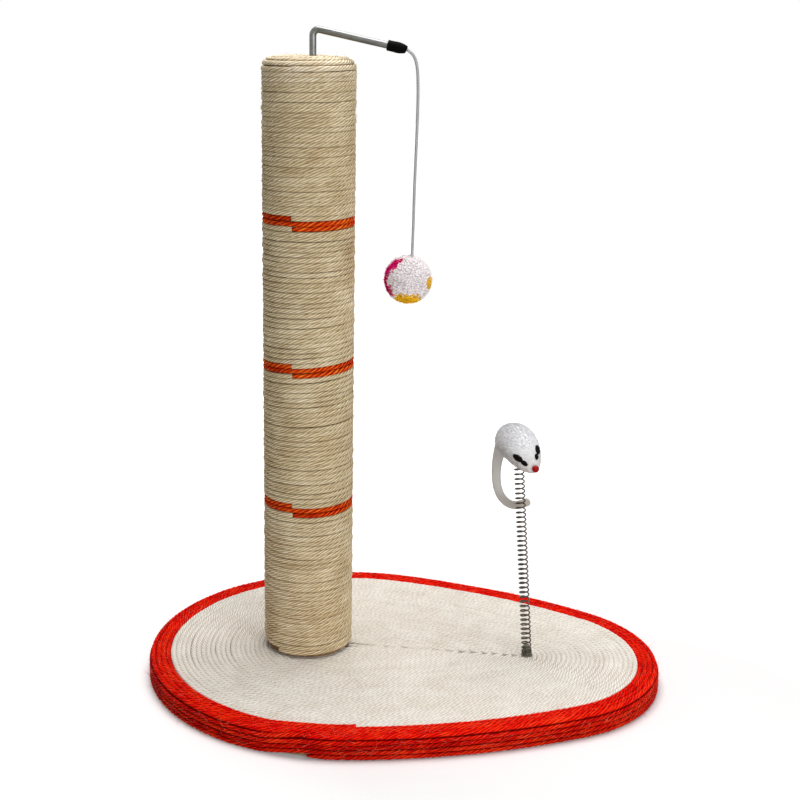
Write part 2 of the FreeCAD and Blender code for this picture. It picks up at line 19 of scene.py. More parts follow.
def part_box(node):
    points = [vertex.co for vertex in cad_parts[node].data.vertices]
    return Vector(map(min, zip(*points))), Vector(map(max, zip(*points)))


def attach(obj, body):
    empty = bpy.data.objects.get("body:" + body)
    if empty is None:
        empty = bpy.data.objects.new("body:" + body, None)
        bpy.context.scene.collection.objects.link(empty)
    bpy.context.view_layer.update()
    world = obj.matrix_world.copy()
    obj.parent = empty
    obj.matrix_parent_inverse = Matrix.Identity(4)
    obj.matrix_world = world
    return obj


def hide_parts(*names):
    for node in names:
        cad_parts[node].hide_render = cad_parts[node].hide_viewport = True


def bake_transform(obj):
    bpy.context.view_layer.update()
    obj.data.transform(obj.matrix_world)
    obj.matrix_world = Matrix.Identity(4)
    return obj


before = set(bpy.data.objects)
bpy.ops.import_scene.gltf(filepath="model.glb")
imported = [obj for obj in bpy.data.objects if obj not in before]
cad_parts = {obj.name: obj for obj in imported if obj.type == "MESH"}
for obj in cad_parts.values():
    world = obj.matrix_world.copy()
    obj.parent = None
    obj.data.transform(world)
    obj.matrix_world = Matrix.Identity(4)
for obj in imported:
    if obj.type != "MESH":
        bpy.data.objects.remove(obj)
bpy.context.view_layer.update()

# %% [markdown]
# ## Real sizes
#
# Everything is in metres, in the frame of the CAD model: X runs along the base from the post to
# the spring, Z is up.  The egg is drawn with the same four arcs as the board's edge, so the
# rope that is laid here follows the board exactly.  The rest is measured from the nodes.

# %% Sizes of the base and the post
mm = 0.001
base_length = 441.0 * mm
big_end_radius = 172.0 * mm
small_end_radius = 121.0 * mm
side_radius = 519.0 * mm
big_share, side_share = 0.25, 0.15

tube_low, tube_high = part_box("post_tube")
post_x = (tube_low.x + tube_high.x) / 2
post_radius = (tube_high.x - tube_low.x) / 2
rope_radius = 2.0 * mm
lowest_point = 0.1 * mm
rope_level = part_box("base_rope_outer")[1].z - rope_radius
wound_radius = post_radius + rope_radius + 0.4 * mm
print("post axis at x = %.1f mm, wound radius %.1f mm" % (post_x / mm, wound_radius / mm))

# %% [markdown]
# ## Shader maths as Python
#
# A material is a graph of nodes, and a graph is hard to read in code.  A small class wraps a
# socket, so that sums and products can be written as sums and products, and adds the node that
# each one needs.  Numbers take a Math node, places take Vector Math, and colours take a Mix
# node, because Math would turn a colour grey.

# %% A socket that can be added and multiplied
class Signal:
    """An output socket of a finish, for use in Python expressions."""

    def __init__(self, finish, socket):
        self.finish = finish
        self.socket = socket

    def __add__(self, other):
        return self.finish.combine("ADD", self, other)

    def __radd__(self, other):
        return self.finish.combine("ADD", other, self)

    def __sub__(self, other):
        return self.finish.combine("SUBTRACT", self, other)

    def __rsub__(self, other):
        return self.finish.combine("SUBTRACT", other, self)

    def __mul__(self, other):
        return self.finish.combine("MULTIPLY", self, other)

    def __rmul__(self, other):
        return self.finish.combine("MULTIPLY", other, self)

    def __truediv__(self, other):
        return self.finish.combine("DIVIDE", self, other)

    def __pow__(self, other):
        return self.finish.combine("POWER", self, other)


# %% [markdown]
# ## A finish
#
# One finish is one material.  Its `node` method adds any node: settings first, because a
# setting can change which sockets there are, and then the values or links of the sockets.
# Whatever is the same all over goes straight onto the shader's own socket.

# %% The finish class
def linear(red, green, blue):
    """A colour as a screen shows it, 0 to 255, in the linear values that shaders use."""
    def convert(channel):
        share = channel / 255
        return share / 12.92 if share <= 0.04045 else ((share + 0.055) / 1.055) ** 2.4
    return convert(red), convert(green), convert(blue), 1.0


class Finish:
    """A procedural material around one principled shader."""

    def __init__(self, name):
        self.material = bpy.data.materials.new(name)
        self.material.use_nodes = True
        self.tree = self.material.node_tree
        self.tree.nodes.clear()
        self.shader = self.tree.nodes.new("ShaderNodeBsdfPrincipled")
        surface = self.tree.nodes.new("ShaderNodeOutputMaterial")
        self.tree.links.new(self.shader.outputs[0], surface.inputs["Surface"])

    def plug(self, socket, value):
        """Link a signal to a socket, or set the socket's own value."""
        if isinstance(value, Signal):
            self.tree.links.new(value.socket, socket)
        elif socket.type == "RGBA" and not hasattr(value, "__len__"):
            socket.default_value = (value, value, value, 1.0)
        elif socket.type == "VECTOR" and not hasattr(value, "__len__"):
            socket.default_value = (value, value, value)
        else:
            socket.default_value = value

    def node(self, kind, settings=None, values=None, output=0):
        """Add a node: its settings, then its sockets by name or number."""
        node = self.tree.nodes.new(kind)
        for key, value in (settings or {}).items():
            if key == "stops":
                ramp = node.color_ramp.elements
                while len(ramp) < len(value):
                    ramp.new(0.5)
                for element, (place, colour) in zip(ramp, value):
                    element.position = place
                    element.color = colour
            else:
                setattr(node, key, value)
        for key, value in (values or {}).items():
            self.plug(node.inputs[key], value)
        return Signal(self, node.outputs[output])

    def combine(self, operation, first, second):
        kinds = [s.socket.type for s in (first, second) if isinstance(s, Signal)]
        if "RGBA" in kinds:
            return self.mix(first, second, 1.0, operation)
        kind = "ShaderNodeVectorMath" if "VECTOR" in kinds else "ShaderNodeMath"
        return self.node(kind, {"operation": operation}, {0: first, 1: second})

    def mix(self, first, second, share, blend="MIX"):
        """Blend two colours."""
        return self.node("ShaderNodeMix", {"data_type": "RGBA", "blend_type": blend},
                         {0: share, 6: first, 7: second}, output=2)

    def noise(self, place, scale, detail=2.0, roughness=0.5):
        return self.node("ShaderNodeTexNoise", {},
                         {"Vector": place, "Scale": scale, "Detail": detail,
                          "Roughness": roughness})

    def ramp(self, value, low, high, start=0.0, end=1.0):
        """A value taken from one range to another, held at the ends."""
        return self.node("ShaderNodeMapRange", {"clamp": True},
                         {"Value": value, "From Min": low, "From Max": high,
                          "To Min": start, "To Max": end})

    def attribute(self, name, output="Fac"):
        return self.node("ShaderNodeAttribute", {"attribute_name": name}, output=output)

    def place(self):
        """The place on the object, in metres."""
        return self.node("ShaderNodeTexCoord", output="Object")

    def bump(self, height, distance, strength=1.0):
        return self.node("ShaderNodeBump", {},
                         {"Strength": strength, "Distance": distance, "Height": height})

    def surface(self, **sockets):
        """Set the shader's sockets, written with underscores for spaces."""
        for key, value in sockets.items():
            self.plug(self.shader.inputs[key.replace("_", " ")], value)
        return self.material


def dress(piece, material):
    """Give a piece one material all over."""
    piece.data.materials.clear()
    piece.data.materials.append(material)
    return piece


# %% [markdown]
# ## Camera, floor and light
#
# The camera stands where the photographer stood: a little right of the post, half a metre up and
# looking down by fifteen degrees.  The floor is pale, takes the object's shadow, and is lifted to
# white for the camera alone, so the backdrop is white while the lamps stay at a plain level.

# %% The camera
camera_data = bpy.data.cameras.new("camera")
camera_data.sensor_width = 36.0
camera_data.lens = 66.56
camera_place = Vector((0.12853, -1.18582, 0.56329))
camera_turn = (Matrix.Rotation(math.radians(6.509), 4, "Z")
               @ Matrix.Rotation(math.radians(75.006), 4, "X")
               @ Matrix.Rotation(math.radians(1.015), 4, "Z"))
camera = bpy.data.objects.new("camera", camera_data)
camera.matrix_world = Matrix.Translation(camera_place) @ camera_turn
bpy.context.scene.collection.objects.link(camera)
bpy.context.scene.camera = camera
bpy.context.scene.view_settings.view_transform = "Standard"
print("camera %.2f m from the post" % (camera_place - Vector((post_x, 0, 0.25))).length)


# %% The floor
lift_centre = (0.17, -0.1, 0.0)
lift_start, lift_end = 0.2, 1.1
near_lift = 0.05


def studio_floor():
    """A pale floor that the camera sees as white where no shadow falls."""
    finish = Finish("studio_floor")
    shader = finish.shader
    finish.surface(Base_Color=linear(231, 230, 230), Roughness=0.9, Specular_IOR_Level=0.1)
    seen = finish.node("ShaderNodeLightPath", output="Is Camera Ray")
    away = finish.node("ShaderNodeVectorMath", {"operation": "DISTANCE"},
                       {0: finish.place(), 1: lift_centre}, output="Value")
    lift = finish.ramp(away, lift_start, lift_end, near_lift, 1.0)
    glow = finish.node("ShaderNodeEmission", {}, {"Color": (1, 1, 1, 1), "Strength": seen * lift})
    both = finish.node("ShaderNodeAddShader", {},
                       {0: Signal(finish, shader.outputs[0]), 1: glow})
    surface = [n for n in finish.tree.nodes if n.type == "OUTPUT_MATERIAL"][0]
    finish.tree.links.new(both.socket, surface.inputs["Surface"])
    size = 6.0
    mesh = bpy.data.meshes.new("floor")
    mesh.from_pydata([(-size, -size, 0), (size, -size, 0), (size, size, 0), (-size, size, 0)],
                     [], [(0, 1, 2, 3)])
    floor = bpy.data.objects.new("floor", mesh)
    floor.location.z = -0.2 * mm
    bpy.context.scene.collection.objects.link(floor)
    dress(floor, finish.material)


# %% The backdrop
def backdrop(fill):
    """A world that is white to the eye and in reflections, and a soft fill elsewhere."""
    world = bpy.data.worlds.new("studio")
    world.use_nodes = True
    bpy.context.scene.world = world
    tree = world.node_tree
    tree.nodes.clear()
    rays = tree.nodes.new("ShaderNodeLightPath")
    add = tree.nodes.new("ShaderNodeMath")
    add.operation = "MAXIMUM"
    through = tree.nodes.new("ShaderNodeMath")
    through.operation = "MAXIMUM"
    strength = tree.nodes.new("ShaderNodeMapRange")
    strength.inputs["To Min"].default_value = fill
    strength.inputs["To Max"].default_value = 1.0
    sky = tree.nodes.new("ShaderNodeBackground")
    sky.inputs["Color"].default_value = (1, 1, 1, 1)
    out = tree.nodes.new("ShaderNodeOutputWorld")
    tree.links.new(rays.outputs["Is Camera Ray"], add.inputs[0])
    tree.links.new(rays.outputs["Is Glossy Ray"], add.inputs[1])
    tree.links.new(add.outputs[0], through.inputs[0])
    tree.links.new(rays.outputs["Is Transmission Ray"], through.inputs[1])
    tree.links.new(through.outputs[0], strength.inputs["Value"])
    tree.links.new(strength.outputs[0], sky.inputs["Strength"])
    tree.links.new(sky.outputs[0], out.inputs["Surface"])


# %% The lamps
def lamp(name, place, aim, size, power, colour=(1, 1, 1)):
    """A square soft box at a place, aimed at a point."""
    data = bpy.data.lights.new(name, "AREA")
    data.shape = "SQUARE"
    data.size = size
    data.energy = power
    data.color = colour
    box = bpy.data.objects.new(name, data)
    box.location = place
    box.rotation_mode = "QUATERNION"
    box.rotation_quaternion = (Vector(aim) - Vector(place)).to_track_quat("-Z", "Y")
    bpy.context.scene.collection.objects.link(box)


studio_floor()
backdrop(fill=0.15)
middle_of_post = (post_x, 0.0, 0.2)
lamp("key", (1.15, -1.3, 0.7), middle_of_post, 1.0, 13.5)
lamp("left_fill", (-1.5, -1.1, 0.35), (post_x, 0.0, 0.1), 1.2, 1.6, (1.0, 0.95, 0.88))
lamp("low_front", (0.35, -1.2, 0.2), (post_x, 0.0, 0.05), 0.6, 3.5)
lamp("top", (0.0, 0.2, 1.7), (0.0, 0.0, 0.0), 1.1, 29.0)

# %% [markdown]
# ## One good rope
#
# Sisal rope is made of yarns laid round each other.  Its outline is not a circle but a ring of
# rounded lobes that turns as it goes, and the turning grooves are what the eye reads as rope.
# Lofting every yarn by itself would multiply the mesh, so one tube gets the lobed section, and
# its points turn with the lay.  Each groove then runs along an edge of the mesh and stays crisp
# with two or three points for each lobe.  Rows that lie side by side press each other nearly
# square, and the section follows that too.
#
# Four attributes go onto the points for the shader: where a point lies along and round its
# rope, how high it stands between groove and crown, how pale its stretch of rope is, and how
# squarely it faces outwards.

# %% Routes at equal steps
dice = np.random.default_rng(2611)


def unit(vectors):
    return vectors / np.linalg.norm(vectors, axis=-1, keepdims=True)


def even_steps(route, outward, step):
    """A route resampled at equal steps, with the direction that faces outwards at each."""
    runs = np.linalg.norm(np.diff(route, axis=0), axis=1)
    along = np.concatenate([[0.0], np.cumsum(runs)])
    places = np.linspace(0.0, along[-1], max(2, int(round(along[-1] / step))) + 1)

    def sample(rows):
        return np.column_stack([np.interp(places, along, rows[:, k]) for k in range(3)])
    return sample(route), unit(sample(outward)), places


def slow_noise(places, cell):
    """Smooth random values, about -1 to 1, one new value for each cell of length."""
    cells = places / cell
    knots = dice.uniform(-1, 1, int(cells.max()) + 3)
    low = np.floor(cells).astype(int)
    share = cells - low
    share = share * share * (3 - 2 * share)
    return knots[low] * (1 - share) + knots[low + 1] * share


def drifting(places, layers, start=0.0):
    """Start plus smooth random layers, each an amount and the length that it changes over."""
    value = start
    for amount, cell in layers:
        value = value + amount * slow_noise(places, cell)
    return value


def everywhere(direction, count):
    """One direction repeated for every point of a route."""
    return np.tile(np.array(direction, float), (count, 1))


level_up = (0.0, 0.0, 1.0)
base_width = (0.0, 1.0, 0.0)

# %% From mesh to finished piece
def link(name, mesh):
    piece = bpy.data.objects.new(name, mesh)
    bpy.context.scene.collection.objects.link(piece)
    return piece


def settle(piece, material, body, slot, *nodes):
    """Dress a piece and say which body it rides on and the nodes it replaces; slot is not used."""
    dress(piece, material)
    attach(piece, body)
    if nodes:
        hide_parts(*nodes)


def add_attribute(mesh, name, kind, values):
    attribute = mesh.attributes.new(name, kind, "POINT")
    field = "value" if kind == "FLOAT" else "vector"
    attribute.data.foreach_set(field, np.ascontiguousarray(values, np.float32).ravel())


def along_frame(points, outward):
    """Unit directions along a route and square to it: forward, outward, sideways."""
    forward = unit(np.gradient(points, axis=0))
    outward = unit(outward - forward * np.sum(outward * forward, axis=1, keepdims=True))
    return forward, outward, np.cross(forward, outward)


def ring_faces(rings, sides):
    """The faces of a closed tube, its two end fans last."""
    ring = np.arange(rings - 1)[:, None] * sides
    side = np.arange(sides)[None, :]
    ahead = (side + 1) % sides
    quads = np.stack([ring + side, ring + ahead, ring + sides + ahead, ring + sides + side], -1)
    first, last = rings * sides, rings * sides + 1
    top = (rings - 1) * sides
    fans = [(first, (k + 1) % sides, k) for k in range(sides)]
    fans += [(last, top + k, top + (k + 1) % sides) for k in range(sides)]
    return quads.reshape(-1, 4), fans


# %% The section of a rope
def lobed(angle, depth, lobes):
    """The section's reach at an angle from a yarn's crown, as a share of the radius."""
    share = 2 * math.pi / lobes
    turn = (angle + share / 2) % share - share / 2
    side = depth * np.sin(turn)
    return depth * np.cos(turn) + np.sqrt((1 - depth) ** 2 - side ** 2)


def pressed(turn, power):
    """How far a round section bulges when its neighbours press it nearly square."""
    return (np.abs(np.cos(turn)) ** power + np.abs(np.sin(turn)) ** power) ** (-1 / power)


def tapered(along, taper):
    """The rope's size near frayed ends: taper gives how long the thin part is at each end."""
    size = np.ones_like(along)
    thinnest = 0.45
    for length, away in zip(taper, (along, along[-1] - along)):
        if length:
            size *= thinnest + (1 - thinnest) * np.sqrt(np.clip(away / length, 0, 1))
    return size


# %% Strips for baking
def bake_strips(mesh, rings, sides, step, girth):
    """Lay the tube's skin out as equal strips under each other, for baking."""
    length = rings * step
    strip_rings = max(8, int(math.sqrt(length * girth) / step))
    strips = math.ceil((rings - 1) / strip_rings)
    index = np.arange(rings - 1)
    strip = index // strip_rings
    u0 = (index % strip_rings) / strip_rings
    u1 = u0 + 1 / strip_rings
    around = np.arange(sides) / sides
    margin = 0.94
    v0 = (strip[:, None] + margin * around[None, :]) / strips
    v1 = v0 + margin / sides / strips
    u0, u1 = np.broadcast_to(u0[:, None], v0.shape), np.broadcast_to(u1[:, None], v0.shape)
    corners = np.stack([u0, v0, u0, v1, u1, v1, u1, v0], -1).reshape(-1)
    fans = np.full(2 * sides * 3 * 2, 0.5)
    layer = mesh.uv_layers.new(name="OFBake")
    layer.data.foreach_set("uv", np.concatenate([corners, fans]).astype(np.float32))


# %% The twisted tube
lay_drift = ((1.1, 45 * mm), (0.45, 11 * mm))
girth_drift = ((0.045, 7 * mm), (0.04, 50 * mm))
groove_drift = ((0.6, 16 * mm),)
pale_drift = ((0.6, 170 * mm), (0.4, 35 * mm))
fibre_roughness = 0.03
end_dome = 0.3


def twisted_rope(name, route, outward, radius=rope_radius, lay=26.0 * mm, step=1.6 * mm,
                 depth=0.42, power=4.0, taper=(0, 0), lobes=6, lobe_steps=2):
    """A laid rope along a route; its yarns lean up to the right, seen from outside."""
    rope_sides = lobes * lobe_steps
    points, outward, along = even_steps(route, outward, step)
    forward, outward, sideways = along_frame(points, outward)
    angle = 2 * math.pi * np.arange(rope_sides) / rope_sides
    crown = lobed(angle, depth, lobes)
    phase = 2 * math.pi * along / lay + drifting(along, lay_drift)
    turn = angle[None, :] - phase[:, None]
    swell = radius * drifting(along, girth_drift, 1.0) * tapered(along, taper)
    rough = dice.normal(0, fibre_roughness, (len(points), rope_sides))
    twist = drifting(along, groove_drift, 1.0)
    profile = 1 + (crown[None, :] - 1) * twist[:, None] + rough
    reach = swell[:, None] * profile * pressed(turn, power)
    skin = (points[:, None, :] + outward[:, None, :] * (reach * np.cos(turn))[..., None]
            + sideways[:, None, :] * (reach * np.sin(turn))[..., None])
    ends = np.stack([points[0] - forward[0] * radius * end_dome,
                     points[-1] + forward[-1] * radius * end_dome])
    vertices = np.concatenate([skin.reshape(-1, 3), ends])
    vertices[:, 2] = np.maximum(vertices[:, 2], lowest_point)
    quads, fans = ring_faces(len(points), rope_sides)
    mesh = bpy.data.meshes.new(name)
    mesh.from_pydata(vertices, [], quads.tolist() + fans, shade_flat=False)
    height = (crown - crown.min()) / (crown.max() - crown.min())
    rows = len(points)
    places = np.empty((rows * rope_sides + 2, 3))
    places[:-2, 0] = np.tile(np.cos(angle), rows)
    places[:-2, 1] = np.tile(np.sin(angle), rows)
    places[:-2, 2] = np.repeat(along, rope_sides)
    places[-2:] = 0
    pale = drifting(along, pale_drift)
    face = np.append(np.cos(turn).ravel(), [0.0, 0.0])
    add_attribute(mesh, "rope_face", "FLOAT", face)
    add_attribute(mesh, "rope_place", "FLOAT_VECTOR", places)
    add_attribute(mesh, "rope_crown", "FLOAT", np.append(np.tile(height, rows), [0.5, 0.5]))
    add_attribute(mesh, "rope_pale", "FLOAT", np.append(np.repeat(pale, rope_sides), [0, 0]))
    bake_strips(mesh, rows, rope_sides, step, 2 * math.pi * radius)
    piece = link(name, mesh)
    print("%-18s %6.2f m of rope, %6d faces" % (name, along[-1], len(mesh.polygons)))
    return piece, points, outward


# %% [markdown]
# ## Rope finishes
#
# The same recipe serves all the ropes: streaks that run along each strand like its fibres, pale
# and dull stretches along the rope, grooves darkened with dust and painted shade, and painted
# shade between the rows.  Only the colours and how strongly they differ change from natural sisal
# to dyed and bleached rope.

# %% Sisal, bleached, red and orange rope
streak_stretch = (4.0, 4.0, 90.0)
fine_stretch = (14.0, 14.0, 260.0)
patch_scale = 45.0
face_fade = 0.35


def rope_finish(name, body, light, dark, groove, contrast, row_shade=None, specular=0.12,
                painted_light_levels=()):
    """body, light and dark are the fibre's colours; groove is what is left in the grooves.

    row_shade is how squarely the rope must face outwards to be free of the painted shade between
    rows.  Each painted light level gives two heights and a tint: the colour takes on the tint from
    the first to the second, as painted light where the tint is above one and painted shade below.
    """
    finish = Finish(name)
    place = finish.attribute("rope_place", "Vector")
    crown = finish.attribute("rope_crown")
    pale = finish.attribute("rope_pale")
    streaks = finish.noise(place * streak_stretch, 1.0, 3.0, 0.65)
    fine = finish.noise(place * fine_stretch, 1.0, 2.0, 0.6)
    patches = finish.noise(finish.place(), patch_scale, 3.0, 0.65)
    lightness = (streaks - 0.5) * 2.2 + pale * 0.16 + (patches - 0.5) * 0.5 + 0.5
    tone = finish.mix(dark, body, finish.ramp(lightness, 0.5 - contrast, 0.5))
    tone = finish.mix(tone, light, finish.ramp(lightness, 0.5, 0.5 + contrast))
    # Dust and painted shade darken the rope towards its grooves; shade is 1 where the rope is
    # clear of them.
    shade = finish.ramp(crown + (fine - 0.5) * 1.2 + (patches - 0.5) * 0.5, 0.0, 0.7)
    # Painted shade between rows, where the rope faces its neighbours.
    if row_shade:
        face = finish.attribute("rope_face")
        shade = shade * finish.ramp(face + (streaks - 0.5) * 0.6, row_shade - face_fade,
                                    row_shade)
    colour = finish.mix(finish.mix(tone, groove, 1.0, "MULTIPLY"), tone, shade)
    height = finish.node("ShaderNodeSeparateXYZ", {}, {0: finish.place()}, output="Z")
    # Painted light and shade by height: the colour takes on each tint between its two heights.
    for start, end, tint in painted_light_levels:
        tinted = finish.mix(colour, tint, 1.0, "MULTIPLY")
        colour = finish.mix(colour, tinted, finish.ramp(height, start, end))
    normal = finish.bump(crown * 0.25 + streaks * 0.7 + fine * 0.5, 0.4 * mm, 0.8)
    return finish.surface(Base_Color=colour, Roughness=finish.ramp(fine, 0.2, 0.8, 0.65, 0.88),
                          Normal=normal, Specular_IOR_Level=specular)


# Painted light on the sisal: lighter towards the post's foot, as bounce light from the base, and
# paler on the post's top, as light from above.
sisal_finish = rope_finish("sisal", linear(217, 203, 168), linear(238, 228, 202),
                           linear(184, 162, 122), linear(168, 146, 112), 0.45, row_shade=0.5,
                           painted_light_levels=[(0.14, 0.03, (1.12, 1.10, 1.10, 1.0)),
                                   (0.494, 0.514, (1.08, 1.10, 1.19, 1.0))])
white_finish = rope_finish("bleached_rope", linear(239, 234, 226), linear(246, 243, 238),
                           linear(221, 213, 202), linear(206, 196, 183), 0.6)
red_finish = rope_finish("red_rope", linear(246, 6, 1), linear(255, 72, 22),
                         linear(196, 2, 1), linear(160, 44, 40), 0.32, row_shade=0.35,
                         specular=0.04)
# The side's red rope is a shaded copy of the red rope: its darker colours, stronger row lines and
# darker band near the floor are painted shade.
red_side_shaded_finish = rope_finish("red_side_rope_painted_shade", linear(240, 6, 1), linear(255, 70, 22),
                          linear(166, 1, 1), linear(128, 30, 28), 0.3, row_shade=0.7,
                          specular=0.04, painted_light_levels=[(0.016, 0.008, (0.85, 0.85, 0.85, 1.0))])
orange_finish = rope_finish("orange_rope", linear(242, 74, 4), linear(255, 160, 56),
                            linear(178, 28, 2), linear(160, 80, 60), 0.34, row_shade=0.4,
                            specular=0.05)
print("rope finishes: 5")

# %% [markdown]
# ## Winding the post
#
# The post is one long winding with three orange inserts: the sisal is cut, two turns of orange
# rope take its place, and the sisal goes on.  All the cuts are on one line at the left front,
# so each band steps up by one strand there.  A winder's rows are never quite even, so each row
# sits a little higher or lower than its neighbour and the whole post swells and sinks slightly.

# %% Sizes of the winding
cut_angle = math.radians(-101.5)
foot_angle = math.radians(-122.0)
band_pitch = 120.0 * mm / 29
band_turns = 2
band_heights = [(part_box("orange_band_%d" % k)[0].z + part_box("orange_band_%d" % k)[1].z) / 2
                for k in (1, 2, 3)]
foot_height = 25.1 * mm
top_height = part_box("sisal_section_4")[1].z - rope_radius - 1.5 * mm
turn_samples = 120
sisal_radius = 2.12 * mm
row_wander, wander_turns = 0.3 * mm, 0.83
row_ripple, ripple_turns = 0.16 * mm, 0.21
post_swell = 0.35 * mm
swell_twist, swell_rise, swell_skew = 55.0, 31.0, 1.3
row_tilt = 2.2 * mm
tilt_reach = 55.0 * mm


# %% The winding's route
def post_route(low, high, turns, start_angle):
    """A winding round the post between two heights, with uneven rows."""
    u = np.linspace(0, turns, int(turns * turn_samples) + 1)
    angle = start_angle + 2 * math.pi * u
    wander = row_wander * slow_noise(u, wander_turns) * np.minimum(1, np.minimum(u, turns - u))
    height = low + (high - low) * u / turns + wander
    beyond = (height - band_heights[1]) / tilt_reach
    height = height + row_tilt * np.exp(-beyond ** 2) * np.cos(angle)
    swell = (post_swell * np.sin(2 * angle + swell_twist * height)
             * np.sin(swell_rise * height + swell_skew * angle))
    swell += row_ripple * slow_noise(u, ripple_turns)
    radius = wound_radius + swell
    outward = np.column_stack([np.cos(angle), np.sin(angle), np.zeros_like(u)])
    route = outward * radius[:, None] + np.array([post_x, 0, 0])
    route[:, 2] = height
    return route, outward


def wind(node, low, high, turns, start_angle, finish, slot="sisal", **shape):
    """Rope for one node of the post between two heights; gives its points and normals."""
    route, outward = post_route(low, high, turns, start_angle)
    piece, points, normals = twisted_rope(node + "_rope", route, outward, **shape)
    settle(piece, finish, "stand", slot, node)
    return points, normals


# %% Four sections and three bands
foot_turns = 30 + (cut_angle - foot_angle) / (2 * math.pi)
section_turns = [foot_turns, 27, 27, 30]
low = foot_height
start = foot_angle
post_runs = []
for k, turns in enumerate(section_turns):
    if k < len(band_heights):
        high = band_heights[k] - band_pitch * band_turns / 2
    else:
        high = top_height
    post_runs.append(wind("sisal_section_%d" % (k + 1), low, high, turns, start, sisal_finish,
                          radius=sisal_radius, lay=31 * mm, power=3.4))
    start = cut_angle
    if k < len(band_heights):
        low = high + band_pitch * band_turns
        wind("orange_band_%d" % (k + 1), high, low, band_turns, cut_angle, orange_finish,
             slot="orange_rope", depth=0.45, power=2.8, taper=(3 * mm, 3 * mm), lay=22 * mm,
             lobes=4, lobe_steps=3)


# %% [markdown]
# ## The post's top
#
# The last turn climbs over the tube's edge and leads into a flat spiral that ends beside the
# wire arm.  Seen in section, its rows sit side by side on a quarter circle and then on a level
# line, which gives the post its round shoulder.

# %% The shoulder and the flat spiral
shoulder_radius = 6.2 * mm
shoulder_centre = (wound_radius - shoulder_radius, top_height + 0.4 * mm)
spiral_inner = 8.0 * mm
quarter = math.pi / 2 * shoulder_radius
spiral_turns = (quarter + shoulder_centre[0] - spiral_inner) / band_pitch
dome, dome_reach = 1.1 * mm, 8 * mm


def top_spiral():
    """Rope over the post's edge and in to the arm, row beside row."""
    u = np.linspace(0, spiral_turns, int(spiral_turns * turn_samples))
    angle = cut_angle + 2 * math.pi * u
    run = band_pitch * u + 0.25 * mm * slow_noise(u, 0.4)
    lean = np.clip(run, 0, quarter) / shoulder_radius
    inwards = np.maximum(run - quarter, 0)
    radius = shoulder_centre[0] + shoulder_radius * np.cos(lean) - inwards
    height = shoulder_centre[1] + shoulder_radius * np.sin(lean) + 0.3 * mm * slow_noise(u, 0.23)
    height += dome * np.minimum(1, inwards / dome_reach)
    around = np.column_stack([np.cos(angle), np.sin(angle), np.zeros_like(u)])
    route = around * radius[:, None] + np.array([post_x, 0, 0])
    route[:, 2] = height
    outward = around * np.cos(lean)[:, None]
    outward[:, 2] = np.sin(lean)
    piece, points, normals = twisted_rope("post_top_spiral_rope", route, outward,
                                          radius=sisal_radius, taper=(0, 5 * mm))
    settle(piece, sisal_finish, "stand", "sisal", "post_top_spiral")
    return points, normals


spiral_run = top_spiral()

# %% [markdown]
# ## The egg and its offsets
#
# The board's outline is an egg of four arcs: a big end, a small end and two long sides.  A row
# of rope is that outline moved inwards.  Moving an arc inwards only shortens its radius, so a
# row is found without any search.  Where the small end's radius runs out, its tip stays as a
# tight bend that slides along the middle line.  That is the seam of dark eyes beside the spring.

# %% Rows of the egg
big_centre_x = -base_length / 2 + big_end_radius
small_centre_x = base_length / 2 - small_end_radius
centre_gap = small_centre_x - big_centre_x
reach_big = side_radius - big_end_radius
reach_small = side_radius - small_end_radius
side_x = big_centre_x + (reach_big ** 2 - reach_small ** 2 + centre_gap ** 2) / (2 * centre_gap)
side_y = math.sqrt(reach_big ** 2 - (side_x - big_centre_x) ** 2)
big_joint = math.atan2(side_y, big_centre_x - side_x)
tip_radius = 3.1 * mm


def egg_rows(offset, turn):
    """Points of the egg moved inwards by offset; turn 0 is the big end, 0.5 the small end."""
    turn = np.mod(turn, 1.0)
    upper = turn > 0.5
    part = np.where(upper, 1 - turn, turn)
    small_radius = small_end_radius - offset
    tight = small_radius < tip_radius
    inside = np.clip((side_radius - offset - tip_radius) ** 2 - side_y ** 2, 0, None)
    centre = np.where(tight, side_x + np.sqrt(inside), small_centre_x)
    small_radius = np.where(tight, tip_radius, small_radius)
    small_joint = np.arctan2(side_y, centre - side_x)
    corner = big_share + side_share
    on_big = math.pi - (math.pi - big_joint) * part / big_share
    on_side = big_joint + (small_joint - big_joint) * (part - big_share) / side_share
    on_small = small_joint * (0.5 - part) / (0.5 - corner)
    big_radius = big_end_radius - offset
    long_radius = side_radius - offset
    x = np.where(part < big_share, big_centre_x + big_radius * np.cos(on_big),
                 np.where(part < corner, side_x + long_radius * np.cos(on_side),
                          centre + small_radius * np.cos(on_small)))
    y = np.where(part < big_share, big_radius * np.sin(on_big),
                 np.where(part < corner, long_radius * np.sin(on_side) - side_y,
                          small_radius * np.sin(on_small)))
    return x, np.where(upper, y, -y)


loop_samples = 640
jog_share = 0.037
jog_turn = 0.222
red_end = 0.032
rim_first_offset = 3.3 * mm
rim_pitch = 4.17 * mm
rim_rows = 4
field_pitch = 4.14 * mm
field_start = rim_first_offset + rim_pitch * rim_rows
field_end = 168.4 * mm
field_loops = (field_end - field_start) / field_pitch
settle_rows = 12.0
print("rows between the rim and the seam:", round(field_loops, 1))

# %% [markdown]
# ## Rope on the base
#
# The red rope starts at the bottom of the board's side.  It runs level, and once a turn it jogs
# up by one row, always at the left front: four rows on the side, then over the edge and four
# rows on the top.  Below its first jog the board's edge shows for a finger's width.  The white
# rope starts where the red one ends.  Its first rows jog at the same place, and after a dozen
# rows the jogs have smoothed out into a steady spiral that runs in to the seam.
#
# The CAD model keeps the white rope in three lengths, because the bolt and the screw are
# drilled through it, so the long spiral is cut at the same places here.

# %% Level rows with a jog
def climb(u):
    """Whole turns lie level and the last part of each climbs to the next."""
    whole = np.floor(u)
    share = np.clip((u - whole - (1 - jog_share)) / jog_share, 0, 1)
    return whole + share * share * (3 - 2 * share)


